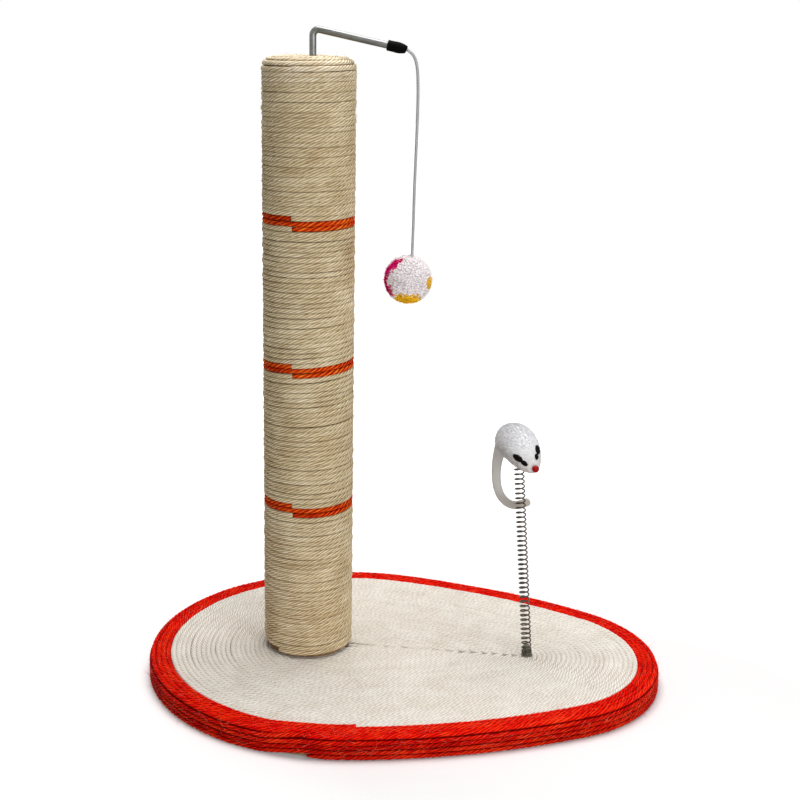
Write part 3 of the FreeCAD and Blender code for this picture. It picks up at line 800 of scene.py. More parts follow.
def lay_base_rope(name, u0, u1, place, finish, nodes, slot, **shape):
    """Rope on the base from turn u0 to u1; place gives offsets, heights and outward lean."""
    u = np.linspace(u0, u1, int((u1 - u0) * loop_samples) + 2)
    offsets, heights, lean = place(u)
    x, y = egg_rows(offsets, u + jog_turn)
    route = np.column_stack([x, y, heights])
    flat = unit(np.gradient(np.column_stack([x, y, np.zeros_like(x)]), axis=0))
    up = everywhere(level_up, len(u))
    away = np.cross(flat, up)
    outward = away * np.sin(lean)[:, None] + up * np.cos(lean)[:, None]
    piece, points, normals = twisted_rope(name, route, outward, **shape)
    settle(piece, finish, "stand", slot, *nodes)
    return points, normals


# %% The white spiral
field_level = rope_level
field_radius = 2.13 * mm
outer_loops = (119.0 * mm - field_start) / field_pitch
middle_loops = (141.0 * mm - field_start) / field_pitch
jog_lag = 0.48
field_drift, field_heave = [(0.24 * mm, 0.07)], [(0.18 * mm, 0.05)]


def field_place(u):
    """Rows that jog like the rim's at first and then settle into a steady spiral."""
    jogging = np.clip(1 - u / settle_rows, 0, 1)
    steady = u - jog_lag
    rows = steady + jogging * (climb(u) - steady)
    offsets = field_start + field_pitch * rows + drifting(u, field_drift)
    return offsets, field_level + drifting(u, field_heave), np.zeros_like(u)


field_runs = []
for part, u0, u1 in (("outer", red_end, outer_loops), ("middle", outer_loops, middle_loops),
                     ("inner", middle_loops, field_loops)):
    field_runs.append(lay_base_rope("base_rope_%s_rope" % part, u0, u1, field_place, white_finish,
                                    ["base_rope_" + part], "white_rope", radius=field_radius,
                                    step=2.35 * mm, power=5.0, depth=0.36))

# %% Red rope on the top and round the side
rim_radius = 2.2 * mm
side_radius_of_rope = 2.1 * mm
red_shape = {"depth": 0.45, "power": 2.2, "lobes": 5, "lay": 27.0 * mm}
side_offset = 1.8 * mm
side_pitch = 4.1 * mm
side_first_level = 2.35 * mm
side_rows = 4
rim_drift, rim_heave = [(0.2 * mm, 0.09)], [(0.22 * mm, 0.04)]
rim_lift, rim_droop = 0.15 * mm, 0.3 * mm
side_drift, side_heave = [(0.3 * mm, 0.09)], [(0.15 * mm, 0.07)]
edge_lean, edge_turn = 0.5, 1.07


def rim_place(u):
    """Level rows on the top, the first of them leaning over the edge."""
    offsets = rim_first_offset + rim_pitch * climb(u) + drifting(u, rim_drift)
    droop = np.clip(1 - climb(u), 0, 1)
    heights = rope_level + rim_lift - rim_droop * droop + drifting(u, rim_heave)
    return offsets, heights, edge_lean * droop


def side_place(u):
    """Level rows on the side, the last of them climbing onto the edge."""
    row = climb(u)
    over_edge = np.clip(row - (side_rows - 1), 0, 1)
    offsets = side_offset + (rim_first_offset - side_offset) * over_edge
    offsets = offsets + drifting(u, side_drift)
    last_level = side_first_level + side_pitch * (side_rows - 1)
    heights = side_first_level + side_pitch * np.minimum(row, side_rows - 1)
    heights = heights + (rope_level - rim_lift - last_level) * over_edge
    heights = heights + drifting(u, side_heave)
    return offsets, heights, math.pi / 2 - edge_turn * over_edge


rim_run = lay_base_rope("rim_rope_top_rope", 0.0, rim_rows + red_end, rim_place, red_finish,
                        ["rim_rope_top"], "red_rope", radius=rim_radius, **red_shape)
side_run = lay_base_rope("rim_rope_side_rope", 0.0, float(side_rows), side_place, red_side_shaded_finish,
                         ["rim_rope_side"], "red_rope", radius=side_radius_of_rope,
                         taper=(12 * mm, 0), **red_shape)

# %% [markdown]
# At the seam each row turns back on itself and leaves a small eye.  A straight length of rope
# is sunk into the seam, so the eyes show as dents near the post and as dark dots near the
# spring, where it lies deeper.

# %% Rope in the seam
spring_x = base_length / 2 - 112.9 * mm
seam_shares = [0, 0.45, 0.62, 1.0]
seam_depths = [0.9, 1.1, 2.6, 3.0]


def seam_rope():
    start_x = post_x + post_radius + 2 * mm
    end_x = spring_x + 14 * mm
    x = np.linspace(start_x, end_x, 160)
    share = (x - start_x) / (end_x - start_x)
    sink = np.interp(share, seam_shares, seam_depths) * mm
    route = np.column_stack([x, np.zeros_like(x), field_level - sink])
    piece = twisted_rope("base_rope_seam", route, everywhere(level_up, len(x)),
                         radius=field_radius)[0]
    settle(piece, white_finish, "stand", "white_rope")


seam_rope()

# %% [markdown]
# ## Loose fibres
#
# Rope of leaf fibre is hairy.  A fibre here is a thin three-sided tube that leaves the rope at a
# low angle and curls.  Thousands share one mesh, because a separate object for each would cost
# far more than its few faces.

# %% A mesh of many hairs
hair_taper = 0.75


def spokes(directions, angle):
    """Unit vectors square to each direction, one for each angle round it."""
    helper = np.where(np.abs(directions[:, 2:3]) < 0.8, [[0.0, 0.0, 1.0]], [[1.0, 0.0, 0.0]])
    across = unit(np.cross(directions, helper))
    other = np.cross(directions, across)
    return (across[:, None, None, :] * np.cos(angle)[None, None, :, None]
            + other[:, None, None, :] * np.sin(angle)[None, None, :, None])


def side_quads(joints, sides):
    """The side faces of one small tube, by number within its own points."""
    quads = []
    for joint in range(joints - 1):
        for side in range(sides):
            ahead = (side + 1) % sides
            low, high = joint * sides, (joint + 1) * sides
            quads.append((low + side, low + ahead, high + ahead, high + side))
    return np.array(quads)


def hairs(name, roots, directions, bends, lengths, thickness, joints=4, sides=3):
    """Hairs from roots along directions, curving by bends; all arrays of one row each."""
    count = len(roots)
    directions = unit(directions)
    share = np.linspace(0, 1, joints)
    reach = lengths[:, None] * share[None, :]
    spine = (roots[:, None, :] + directions[:, None, :] * reach[..., None]
             + bends[:, None, :] * (reach * share[None, :])[..., None])
    angle = 2 * math.pi * np.arange(sides) / sides
    girth = thickness[:, None] * (1 - hair_taper * share ** 2)[None, :]
    skin = spine[:, :, None, :] + spokes(directions, angle) * girth[:, :, None, None]
    skin[..., 2] = np.maximum(skin[..., 2], lowest_point)
    block = joints * sides
    quads = side_quads(joints, sides)[None] + (np.arange(count) * block)[:, None, None]
    tips = np.arange(sides)[::-1][None] + (np.arange(count) * block)[:, None]
    ends = np.arange(sides)[None] + (np.arange(count) * block)[:, None] + (joints - 1) * sides
    mesh = bpy.data.meshes.new(name)
    faces = quads.reshape(-1, 4).tolist() + tips.tolist() + ends.tolist()
    mesh.from_pydata(skin.reshape(-1, 3), [], faces, shade_flat=False)
    return link(name, mesh), np.repeat(np.arange(count), block)


# %% Fibres on the ropes
# A longer step than this is a jump from the end of one rope to the start of the next.
jump = 4 * mm
shortest_fibre = 0.8 * mm
root_depth = 0.86


def loose_fibres(name, runs, count, longest, radius, finish, slot, lift=0.35,
                 thickness=(0.04, 0.085)):
    """Fibres that leave the outward half of some ropes."""
    points = np.concatenate([run[0] for run in runs])
    outward = np.concatenate([run[1] for run in runs])
    forward = np.roll(points, -1, axis=0) - points
    forward[np.linalg.norm(forward, axis=1) > jump] = [1, 0, 0]
    forward = unit(forward + 1e-9)
    chosen = dice.integers(2, len(points) - 2, count)
    lean = dice.uniform(-0.9, 0.9, count)[:, None]
    sideways = np.cross(forward[chosen], outward[chosen])
    out = unit(outward[chosen] * np.cos(lean) + sideways * np.sin(lean))
    roots = points[chosen] + out * radius * root_depth
    way = dice.choice([-1, 1], count)[:, None]
    directions = forward[chosen] * way + out * dice.uniform(0.1, 1, (count, 1)) * 2 * lift
    directions += sideways * dice.normal(0, 0.5, (count, 1))
    bends = dice.normal(0, 0.35, (count, 3)) + out * dice.uniform(-0.5, 0.3, (count, 1))
    lengths = longest * dice.uniform(0.25, 1, count) ** 2
    lengths = np.maximum(lengths, shortest_fibre)
    piece = hairs(name, roots, directions, bends, lengths,
                  dice.uniform(*thickness, count) * mm)[0]
    settle(piece, finish, "stand", slot)
    print("%-18s %5d fibres" % (name, count))


def fibre_finish(name, colour, other):
    finish = Finish(name)
    tone = finish.noise(finish.place(), 420.0, 1.0)
    return finish.surface(Base_Color=finish.mix(colour, other, finish.ramp(tone, 0.35, 0.65)),
                          Roughness=0.7, Sheen_Weight=0.2)


sisal_hair = fibre_finish("sisal_fibre", linear(228, 210, 176), linear(188, 162, 120))
white_hair = fibre_finish("white_fibre", linear(240, 234, 222), linear(214, 204, 186))
red_hair = fibre_finish("red_fibre", linear(226, 44, 18), linear(240, 112, 78))
loose_fibres("post_fibres", post_runs + [spiral_run], 5000, 7.0 * mm, 2.2 * mm, sisal_hair,
             "sisal", 0.25, thickness=(0.05, 0.11))
loose_fibres("base_fibres", field_runs, 1400, 5.0 * mm, rope_radius, white_hair, "white_rope", 0.2)
loose_fibres("rim_fibres", [rim_run, side_run], 2400, 9.0 * mm, rim_radius, red_hair, "red_rope",
             thickness=(0.06, 0.12))
loose_fibres("long_fibres", [rim_run], 90, 15.0 * mm, rim_radius, red_hair, "red_rope", 0.9,
             thickness=(0.07, 0.12))

# %% [markdown]
# ## Board, felt, cardboard and plugs
#
# These come from CAD as they are and only need their finish.  The board is raw fibreboard, seen
# where the rope lifts.  The tube is grey-brown cardboard wound from paper strip, so its lines
# climb round it.  The felt and the plugs show from below and in the bores.

# %% Board, felt and cardboard
def board_finish():
    finish = Finish("fibreboard")
    place = finish.place()
    grain = finish.noise(place, 900.0, 3.0, 0.7)
    cloud = finish.noise(place * (40.0, 40.0, 260.0), 1.0, 3.0)
    colour = finish.mix(linear(120, 88, 58), linear(164, 128, 90), finish.ramp(cloud, 0.3, 0.7))
    colour = finish.mix(colour, linear(92, 64, 40), finish.ramp(grain, 0.55, 0.8, 0.0, 0.6))
    return finish.surface(Base_Color=colour, Roughness=0.85, Normal=finish.bump(grain, 0.2 * mm))


def felt_finish():
    finish = Finish("black_felt")
    place = finish.place()
    fibre = finish.noise(place * (1.0, 3.0, 1.0), 900.0, 4.0, 0.8)
    cloud = finish.noise(place, 30.0, 2.0)
    colour = finish.mix(linear(30, 29, 30), linear(66, 64, 66), finish.ramp(fibre, 0.35, 0.7))
    colour = finish.mix(colour, linear(44, 42, 42), finish.ramp(cloud, 0.4, 0.7, 0.0, 0.5))
    return finish.surface(Base_Color=colour, Roughness=0.95, Sheen_Weight=0.5,
                          Normal=finish.bump(fibre, 0.4 * mm))


def card_finish():
    finish = Finish("cardboard")
    place = finish.place()
    wound = finish.noise(place * (60.0, 60.0, 900.0), 1.0, 3.0)
    speck = finish.noise(place, 700.0, 2.0)
    colour = finish.mix(linear(92, 62, 34), linear(150, 112, 70), finish.ramp(wound, 0.3, 0.7))
    colour = finish.mix(colour, linear(70, 44, 22), finish.ramp(speck, 0.6, 0.8, 0.0, 0.6))
    return finish.surface(Base_Color=colour, Roughness=0.8, Normal=finish.bump(wound, 0.1 * mm))


# %% Pine and steel
def plug_finish():
    finish = Finish("turned_pine")
    place = finish.place()
    ring = finish.node("ShaderNodeTexWave", {"wave_type": "RINGS", "rings_direction": "Y"},
                       {"Vector": place, "Scale": 90.0, "Distortion": 3.0, "Detail": 2.0},
                       output="Fac")
    fine = finish.noise(place * (1.0, 1.0, 0.2), 800.0, 3.0)
    colour = finish.mix(linear(214, 176, 124), linear(176, 130, 80), ring)
    colour = finish.mix(colour, linear(150, 108, 64), finish.ramp(fine, 0.5, 0.8, 0.0, 0.5))
    return finish.surface(Base_Color=colour, Roughness=0.6, Normal=finish.bump(fine, 0.1 * mm))


def steel_finish(name, light, dark, rough, stretch):
    """Drawn or turned steel: fine lines that break up the highlight."""
    finish = Finish(name)
    place = finish.place()
    lines = finish.noise(place * stretch, 1.0, 3.0, 0.6)
    cloud = finish.noise(place, 140.0, 2.0)
    colour = finish.mix(dark, light, finish.ramp(lines, 0.3, 0.7))
    colour = finish.mix(colour, dark, finish.ramp(cloud, 0.45, 0.8, 0.0, 0.6))
    roughness = finish.ramp(lines + cloud * 0.5, 0.5, 1.1, rough - 0.08, rough + 0.14)
    return finish.surface(Base_Color=colour, Metallic=1.0, Roughness=roughness,
                          Normal=finish.bump(lines, 0.02 * mm, 0.6))


def node_finish(material, *nodes):
    for node in nodes:
        dress(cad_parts[node], material)
    print("%-16s %s" % (material.name, ", ".join(nodes)))


node_finish(board_finish(), "base_board")
node_finish(felt_finish(), "underside_felt")
node_finish(card_finish(), "post_tube")
node_finish(plug_finish(), "post_foot_plug", "post_top_plug")
zinc_finish = steel_finish("zinc_steel", linear(176, 177, 176), linear(130, 130, 126), 0.34,
                           (900.0, 900.0, 900.0))
dark_finish = steel_finish("spring_steel", linear(106, 97, 86), linear(42, 36, 30), 0.34,
                           (1200.0, 1200.0, 1200.0))
peg_finish = steel_finish("peg_steel", linear(150, 147, 138), linear(104, 100, 90), 0.4,
                          (900.0, 900.0, 900.0))
node_finish(zinc_finish, "threaded_insert", "post_bolt", "bolt_washer", "spring_screw")
node_finish(peg_finish, "spring_peg")

# %% [markdown]
# ## The wire arm and its ferrule
#
# The arm is zinc-plated wire.  Its finish has lines drawn along the wire.  The ferrule is soft
# black plastic with a dull shine and small scuffs.

# %% Arm and ferrule
def plastic_finish(name, colour, wear, rough, specular=0.4):
    finish = Finish(name)
    place = finish.place()
    scuff = finish.noise(place, 500.0, 3.0, 0.7)
    tone = finish.mix(colour, wear, finish.ramp(scuff, 0.5, 0.8, 0.0, 0.7))
    roughness = finish.ramp(scuff, 0.3, 0.8, rough, rough + 0.2)
    return finish.surface(Base_Color=tone, Roughness=roughness, Specular_IOR_Level=specular,
                          Normal=finish.bump(scuff, 0.05 * mm))


wire_finish = steel_finish("drawn_wire", linear(124, 125, 124), linear(100, 100, 98), 0.34,
                           (30.0, 500.0, 500.0))
node_finish(wire_finish, "wire_arm")
node_finish(plastic_finish("ferrule_plastic", linear(5, 4, 4), linear(14, 12, 12), 0.6, 0.04),
            "cord_ferrule")

# %% [markdown]
# ## Spring toy: a coil in two halves
#
# The coil is one wire, but it crosses two hinges, so it is made in two halves that meet between
# them: the lower half runs from the stand to the spring's middle, the upper half from there to
# the mouse.

# %% Sizes of the coil
spring_tilt = math.radians(4.4)
coil_axis = np.array([-math.sin(spring_tilt), 0.0, math.cos(spring_tilt)])
coil_side = np.array([math.cos(spring_tilt), 0.0, math.sin(spring_tilt)])
coil_across = np.array([0.0, 1.0, 0.0])
peg_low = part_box("spring_peg")[0]
coil_foot = np.array([spring_x, 0.0, peg_low.z])
wire_radius = 0.6 * mm
coil_radius = 4.5 * mm - wire_radius
peg_flange, coil_gap = 1.2 * mm, 0.4 * mm
coil_start = peg_flange + coil_gap + wire_radius
closed_pitch, open_pitch = 1.65 * mm, 4.23 * mm
closed_foot, open_turns, closed_head = 2, 41, 2
coil_turns = closed_foot + open_turns + closed_head
coil_samples = 28


# %% A smooth tube
def tube_mesh(name, points, radius, sides=10, outward=None, squeeze=1.0, taper=None):
    """A smooth round or flattened tube through points, with domed ends."""
    points = np.asarray(points, float)
    if outward is None:
        outward = everywhere(level_up, len(points))
    forward, out, sideways = along_frame(points, np.asarray(outward, float))
    angle = 2 * math.pi * np.arange(sides) / sides
    size = radius * (np.ones(len(points)) if taper is None else taper)
    skin = (points[:, None, :]
            + out[:, None, :] * (squeeze * size[:, None] * np.cos(angle))[..., None]
            + sideways[:, None, :] * (size[:, None] * np.sin(angle))[..., None])
    ends = np.stack([points[0] - forward[0] * end_dome * size[0],
                     points[-1] + forward[-1] * end_dome * size[-1]])
    quads, fans = ring_faces(len(points), sides)
    mesh = bpy.data.meshes.new(name)
    mesh.from_pydata(np.concatenate([skin.reshape(-1, 3), ends]), [], quads.tolist() + fans,
                     shade_flat=False)
    return link(name, mesh)


# %% The wire's route
def coil_rise(u):
    """How far along its axis the wire has come after u turns."""
    low = np.minimum(u, closed_foot)
    middle = np.clip(u - closed_foot, 0, open_turns)
    high = np.maximum(u - closed_foot - open_turns, 0)
    return coil_start + (low + high) * closed_pitch + middle * open_pitch


def coil_route(u0, u1):
    """The wire's middle line from turn u0 to u1, and the spokes that point at it."""
    u = np.linspace(u0, u1, int((u1 - u0) * coil_samples) + 1)
    angle = 2 * math.pi * u[:, None]
    spoke = coil_side * np.cos(angle) + coil_across * np.sin(angle)
    return coil_foot + coil_axis * coil_rise(u)[:, None] + spoke * coil_radius, spoke


def on_coil_axis(distance):
    return coil_foot + coil_axis * distance


# %% Two halves across two hinges
split_turn = 21.0
for name, u0, u1, joint in (("spring_lower", 0.0, split_turn, "spring_lean"),
                            ("spring_upper", split_turn, coil_turns, "spring_sway")):
    route, spoke = coil_route(u0, u1)
    piece = tube_mesh(name, route, wire_radius, 10, spoke)
    dress(piece, dark_finish)
    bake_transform(piece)
    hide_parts("toy_spring")
print("coil: %.1f mm long, %d turns" % (coil_rise(np.array(float(coil_turns))) / mm, coil_turns))

# %% [markdown]
# ## The cord
#
# The cord is elastic with a smooth sleeve.  It leaves the ferrule at a slant, turns down within
# two centimetres and hangs nearly straight under the pompom's weight.  A spline runs through
# the same points as the CAD solid, and a tube is laid along it.

# %% The cord's route and tube
arm_droop = math.radians(11.4)
wire_offset = 3.1 * mm
wire_corner_z = 520.5 * mm + 23.2 * mm
ferrule_reach = 78.0 * mm
cord_diameter = 2.4 * mm
exit_point = Vector((post_x + ferrule_reach, 0.0,
                     wire_corner_z - (ferrule_reach - wire_offset) * math.tan(arm_droop)))
cord_route = [(0.0, 0.0, 0.0), (4.8, 0.0, -2.8), (7.9, 0.2, -9.6), (9.2, 0.4, -20.5),
              (9.6, 0.2, -42.0), (9.0, -0.3, -75.0), (8.0, 0.0, -110.0), (7.8, 0.3, -141.0),
              (7.2, 0.0, -163.8)]
cord_points = [exit_point + Vector(point) * mm for point in cord_route]


def spline_points(name, points):
    """The points of a smooth NURBS line that has these as its control points."""
    curve = bpy.data.curves.new(name, "CURVE")
    curve.dimensions = "3D"
    curve.resolution_u = 12
    spline = curve.splines.new("NURBS")
    spline.points.add(len(points) - 1)
    for point, place in zip(spline.points, points):
        point.co = (*place, 1.0)
    spline.order_u = 3
    spline.use_endpoint_u = True
    holder = bpy.data.objects.new(name, curve)
    bpy.context.scene.collection.objects.link(holder)
    bpy.context.view_layer.update()
    mesh = bpy.data.meshes.new_from_object(holder)
    line = [Vector(vertex.co) for vertex in mesh.vertices]
    bpy.data.objects.remove(holder)
    return line


def cord_finish():
    finish = Finish("elastic_cord")
    place = finish.place()
    braid = finish.node("ShaderNodeTexWave", {"bands_direction": "Z"},
                        {"Vector": place, "Scale": 260.0, "Distortion": 1.5}, output="Fac")
    cloud = finish.noise(place, 90.0, 2.0)
    colour = finish.mix(linear(140, 142, 143), linear(168, 170, 171),
                        finish.ramp(braid + cloud, 0.4, 1.4))
    return finish.surface(Base_Color=colour, Roughness=0.45, Coat_Weight=0.1,
                          Normal=finish.bump(braid, 0.04 * mm, 0.5))


cord_step = 1.0 * mm
cord_line = spline_points("cord_line", cord_points)
cord_line = even_steps(np.array(cord_line), everywhere(base_width, len(cord_line)),
                       cord_step)[0]
cord = tube_mesh("elastic_cord", cord_line, cord_diameter / 2, 16,
                 everywhere(base_width, len(cord_line)))
dress(cord, cord_finish())
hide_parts("cord")

# %% [markdown]
# ## The pompom
#
# A pompom is a thick bundle of yarn tied at its middle and clipped to a ball, so each end of
# yarn points away from the centre and fluffs out into a soft round tuft.  A tuft here is a short
# rod with a domed end, wide enough to touch its neighbours.  The yarn was wound in turns of
# white, magenta and yellow, so the colours sit in patches.

# %% Yarn ends
ball_low, ball_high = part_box("pompom")
ball_centre = np.array((ball_low + ball_high) / 2) + np.array([-0.3, 0.0, 1.0]) * mm
ball_radius = (ball_high.x - ball_low.x) / 2
tuft_count = 1300
tuft_root, tuft_lengths = 0.5, (0.95, 1.0)
tuft_bend, tuft_ragged, tuft_girths = 0.12, 0.09, (1.1, 1.4)
# Places along a tuft, and how wide it is at each of them.
tuft_places = np.array([0.0, 0.45, 0.75, 0.88, 0.96, 1.0])
tuft_fan = np.array([0.5, 0.8, 1.0, 1.0, 0.86, 0.55])
# Directions from the pompom's centre and the angle that each patch of colour spans round them.
magenta_aims = [((-0.55, -0.42, 0.72), 0.31), ((-0.87, -0.35, 0.34), 0.30),
                ((-0.95, -0.25, 0.02), 0.36), ((-0.80, -0.45, -0.40), 0.31),
                ((-0.80, 0.60, 0.0), 0.70), ((0.1, 0.9, 0.45), 0.45)]
yellow_aims = [((-0.27, -0.70, -0.68), 0.26), ((0.02, -0.68, -0.74), 0.25),
               ((0.32, -0.60, -0.74), 0.28), ((0.0, -0.2, -1.0), 0.60),
               ((0.95, -0.30, -0.08), 0.27), ((0.6, 0.7, -0.4), 0.5)]


def ball_directions(count):
    """Directions spread evenly over a ball."""
    k = np.arange(count) + 0.5
    height = 1 - 2 * k / count
    angle = math.pi * (1 + math.sqrt(5)) * k
    flat = np.sqrt(1 - height ** 2)
    return np.column_stack([flat * np.cos(angle), flat * np.sin(angle), height])


def patch(directions, aims, stray):
    """1 where a direction, a little strayed, lies within reach of one of the aims."""
    inside = np.zeros(len(directions))
    for aim, reach in aims:
        towards = directions @ unit(np.array(aim, float))
        angle = np.arccos(np.clip(towards, -1, 1)) + dice.normal(0, stray, len(directions))
        inside = np.maximum(inside, (angle < reach).astype(float))
    return inside


# %% The yarn's finish and colours
def yarn_finish():
    finish = Finish("pompom_yarn")
    magenta = finish.attribute("yarn_magenta")
    yellow = finish.attribute("yarn_yellow")
    tone = finish.attribute("yarn_tone")
    tip = finish.attribute("yarn_tip")
    fluff = finish.noise(finish.place(), 900.0, 3.0, 0.7)
    shade = tone * 0.55 + fluff * 0.45
    white = finish.mix(linear(226, 217, 219), linear(236, 230, 231), finish.ramp(shade, 0.3, 0.7))
    pink = finish.mix(linear(176, 2, 66), linear(222, 12, 110), finish.ramp(shade, 0.3, 0.7))
    gold = finish.mix(linear(214, 150, 4), linear(234, 190, 30), finish.ramp(shade, 0.3, 0.7))
    colour = finish.mix(finish.mix(white, pink, magenta), gold, yellow)
    # Painted shade: the yarn is darker towards the ball's inside, between the tufts.
    painted_deep_shade = finish.mix(colour, linear(240, 235, 236), 1.0, "MULTIPLY")
    colour = finish.mix(painted_deep_shade, colour, finish.ramp(tip, 0.3, 0.9))
    return finish.surface(Base_Color=colour, Roughness=0.9, Specular_IOR_Level=0.1,
                          Subsurface_Weight=0.25, Subsurface_Radius=(0.6, 0.5, 0.5),
                          Subsurface_Scale=2.0 * mm, Normal=finish.bump(fluff, 0.2 * mm, 0.6))


def yarn_colours(mesh, pink, gold, tone, tip):
    for name, values in (("yarn_magenta", pink), ("yarn_yellow", gold), ("yarn_tone", tone),
                         ("yarn_tip", tip)):
        add_attribute(mesh, name, "FLOAT", values)


# %% The tufts
def pompom():
    """The clipped ends of the yarn as one mesh of tufts."""
    directions = unit(ball_directions(tuft_count) + dice.normal(0, 0.03, (tuft_count, 3)))
    directions = directions[directions[:, 2] < 0.985]
    count = len(directions)
    lengths = ball_radius * dice.uniform(*tuft_lengths, count)
    inner = tuft_root * ball_radius
    share = tuft_places
    joints, sides = len(share), 7
    reach = inner + (lengths[:, None] - inner) * share[None, :]
    bends = dice.normal(0, tuft_bend, (count, 3)) * ball_radius
    spine = (ball_centre + directions[:, None, :] * reach[..., None]
             + bends[:, None, :] * (share ** 2 - share ** 3)[None, :, None])
    angle = 2 * math.pi * np.arange(sides) / sides + 0.4
    girth = dice.uniform(*tuft_girths, count)[:, None] * tuft_fan[None, :] * mm
    ragged = 1 + tuft_ragged * dice.normal(0, 1, (count, joints, sides)) * share[None, :, None]
    ring = spokes(directions, angle)
    skin = spine[:, :, None, :] + ring * (girth[:, :, None] * ragged)[..., None]
    tips = spine[:, -1] + directions * 0.2 * mm
    block = joints * sides + 1
    vertices = np.concatenate([skin.reshape(count, -1, 3), tips[:, None, :]], axis=1)
    start = (np.arange(count) * block)[:, None, None]
    quads = (side_quads(joints, sides)[None] + start).reshape(-1, 4).tolist()
    cap = [((joints - 1) * sides + k, (joints - 1) * sides + (k + 1) % sides, joints * sides)
           for k in range(sides)]
    fans = (np.array(cap)[None] + start).reshape(-1, 3).tolist()
    roots = (np.arange(sides)[::-1][None] + start[:, :, 0]).tolist()
    mesh = bpy.data.meshes.new("pompom_yarn")
    mesh.from_pydata(vertices.reshape(-1, 3), [], quads + fans + roots, shade_flat=False)
    tip = np.append(np.repeat(share, sides), 1.0)
    yarn_colours(mesh, np.repeat(patch(directions, magenta_aims, 0.05), block),
                 np.repeat(patch(directions, yellow_aims, 0.05), block),
                 np.repeat(dice.uniform(0, 1, count), block), np.tile(tip, count))
    ball = link("pompom_yarn", mesh)
    settle(ball, yarn_finish(), "pendulum", "pompom_yarn", "pompom")
    print("pompom: %d tufts, %.1f mm across" % (count, 2 * ball_radius / mm))
    return ball


yarn_ball = pompom()
node_finish(plastic_finish("tie_thread", linear(222, 220, 222), linear(190, 186, 190), 0.6),
            "pompom_tie")

# %% [markdown]
# A clipped ball has a dense heart behind its ends.  It is a bumpy ball of its own, so that no
# light shows through between the tufts.  Fine fluff stands out all round and softens the
# outline.

# %% The pompom's heart and fluff
heart_share, heart_bumps = 0.935, 0.02
fluff_count, fluff_root = 9000, 0.93
fluff_lengths, fluff_girths = (1.2, 2.6), (0.06, 0.1)


def pompom_heart():
    """A bumpy ball just under the tufts' ends."""
    core_radius = heart_share * ball_radius
    rings, sides = 40, 64
    polar = np.linspace(0.02, math.pi - 0.02, rings)
    angle = 2 * math.pi * np.arange(sides) / sides
    level = np.broadcast_to(np.cos(polar)[:, None], (rings, sides))
    direction = np.stack([np.sin(polar)[:, None] * np.cos(angle),
                          np.sin(polar)[:, None] * np.sin(angle), level], -1)
    reach = core_radius * (1 + heart_bumps * dice.normal(0, 1, (rings, sides)))
    skin = ball_centre + direction * reach[..., None]
    ends = ball_centre + np.array([[0, 0, core_radius], [0, 0, -core_radius]])
    quads, fans = ring_faces(rings, sides)
    mesh = bpy.data.meshes.new("pompom_heart")
    mesh.from_pydata(np.concatenate([skin.reshape(-1, 3), ends]), [],
                     quads[:, ::-1].tolist() + [face[::-1] for face in fans], shade_flat=False)
    toward = np.concatenate([direction.reshape(-1, 3), [[0, 0, 1], [0, 0, -1]]])
    count = len(toward)
    yarn_colours(mesh, patch(toward, magenta_aims, 0.02), patch(toward, yellow_aims, 0.02),
                 np.full(count, 0.5), np.full(count, 0.8))
    return link("pompom_heart", mesh)


def pompom_fluff(count):
    """Fine hairs in the colour of the yarn that they grow from."""
    directions = unit(ball_directions(count) + dice.normal(0, 0.05, (count, 3)))
    roots = ball_centre + directions * ball_radius * fluff_root
    lean = directions + dice.normal(0, 0.6, (count, 3))
    lengths = dice.uniform(*fluff_lengths, count) * mm
    fluff, hair = hairs("pompom_fluff", roots, lean, dice.normal(0, 0.5, (count, 3)), lengths,
                        dice.uniform(*fluff_girths, count) * mm)
    yarn_colours(fluff.data, patch(directions, magenta_aims, 0.04)[hair],
                 patch(directions, yellow_aims, 0.04)[hair],
                 dice.uniform(0.3, 1, count)[hair], np.ones(len(hair)))
    return fluff


fluff = pompom_fluff(fluff_count)
heart = pompom_heart()
for extra in (heart, fluff):
    settle(extra, yarn_ball.data.materials[0], "pendulum", "pompom_yarn")
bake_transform(cord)

# %% [markdown]
# ## The mouse
#
# The toy mouse is a small stuffed shape of short white plush.  A smooth body through nine
# sections carries the silhouette, and several thousand short hairs lie back from the nose over
# it.  The hair is what catches the light, so the body under it stays plain.

# %% The body's shape
mouse_heading = math.radians(-55.0)
mouse_forward = np.array([math.cos(mouse_heading), math.sin(mouse_heading), 0.0])
mouse_left = np.array([-math.sin(mouse_heading), math.cos(mouse_heading), 0.0])
upwards = np.array([0.0, 0.0, 1.0])
mouse_height = 190.5 * mm
mouse_setback = 7.6 * mm
mouse_middle = on_coil_axis(mouse_height / math.cos(spring_tilt)) - mouse_forward * mouse_setback
# Each station: how far ahead of the middle, how high, and the radius there.
mouse_stations = np.array([
    (-15.2, 1.0, 3.0), (-13.3, 0.9, 7.8), (-8.0, 0.5, 12.3), (0.0, 0.0, 15.2), (8.0, -1.0, 16.1),
    (16.0, -3.8, 15.1), (23.0, -7.6, 12.6), (29.0, -11.2, 8.8), (33.0, -14.0, 5.0)]) * mm


def smooth_stations(count):
    """Ahead, height and radius of the body at many places, through its stations."""
    knots = np.arange(len(mouse_stations), dtype=float)
    places = np.linspace(0, len(mouse_stations) - 1, count)
    padded = np.concatenate([[2 * mouse_stations[0] - mouse_stations[1]], mouse_stations,
                             [2 * mouse_stations[-1] - mouse_stations[-2]]])
    cell = np.minimum(places.astype(int), len(knots) - 2)
    share = (places - cell)[:, None]
    p0, p1, p2, p3 = (padded[cell + k] for k in range(4))
    return 0.5 * (2 * p1 + (p2 - p0) * share + (2 * p0 - 5 * p1 + 4 * p2 - p3) * share ** 2
                  + (3 * p1 - p0 - 3 * p2 + p3) * share ** 3)


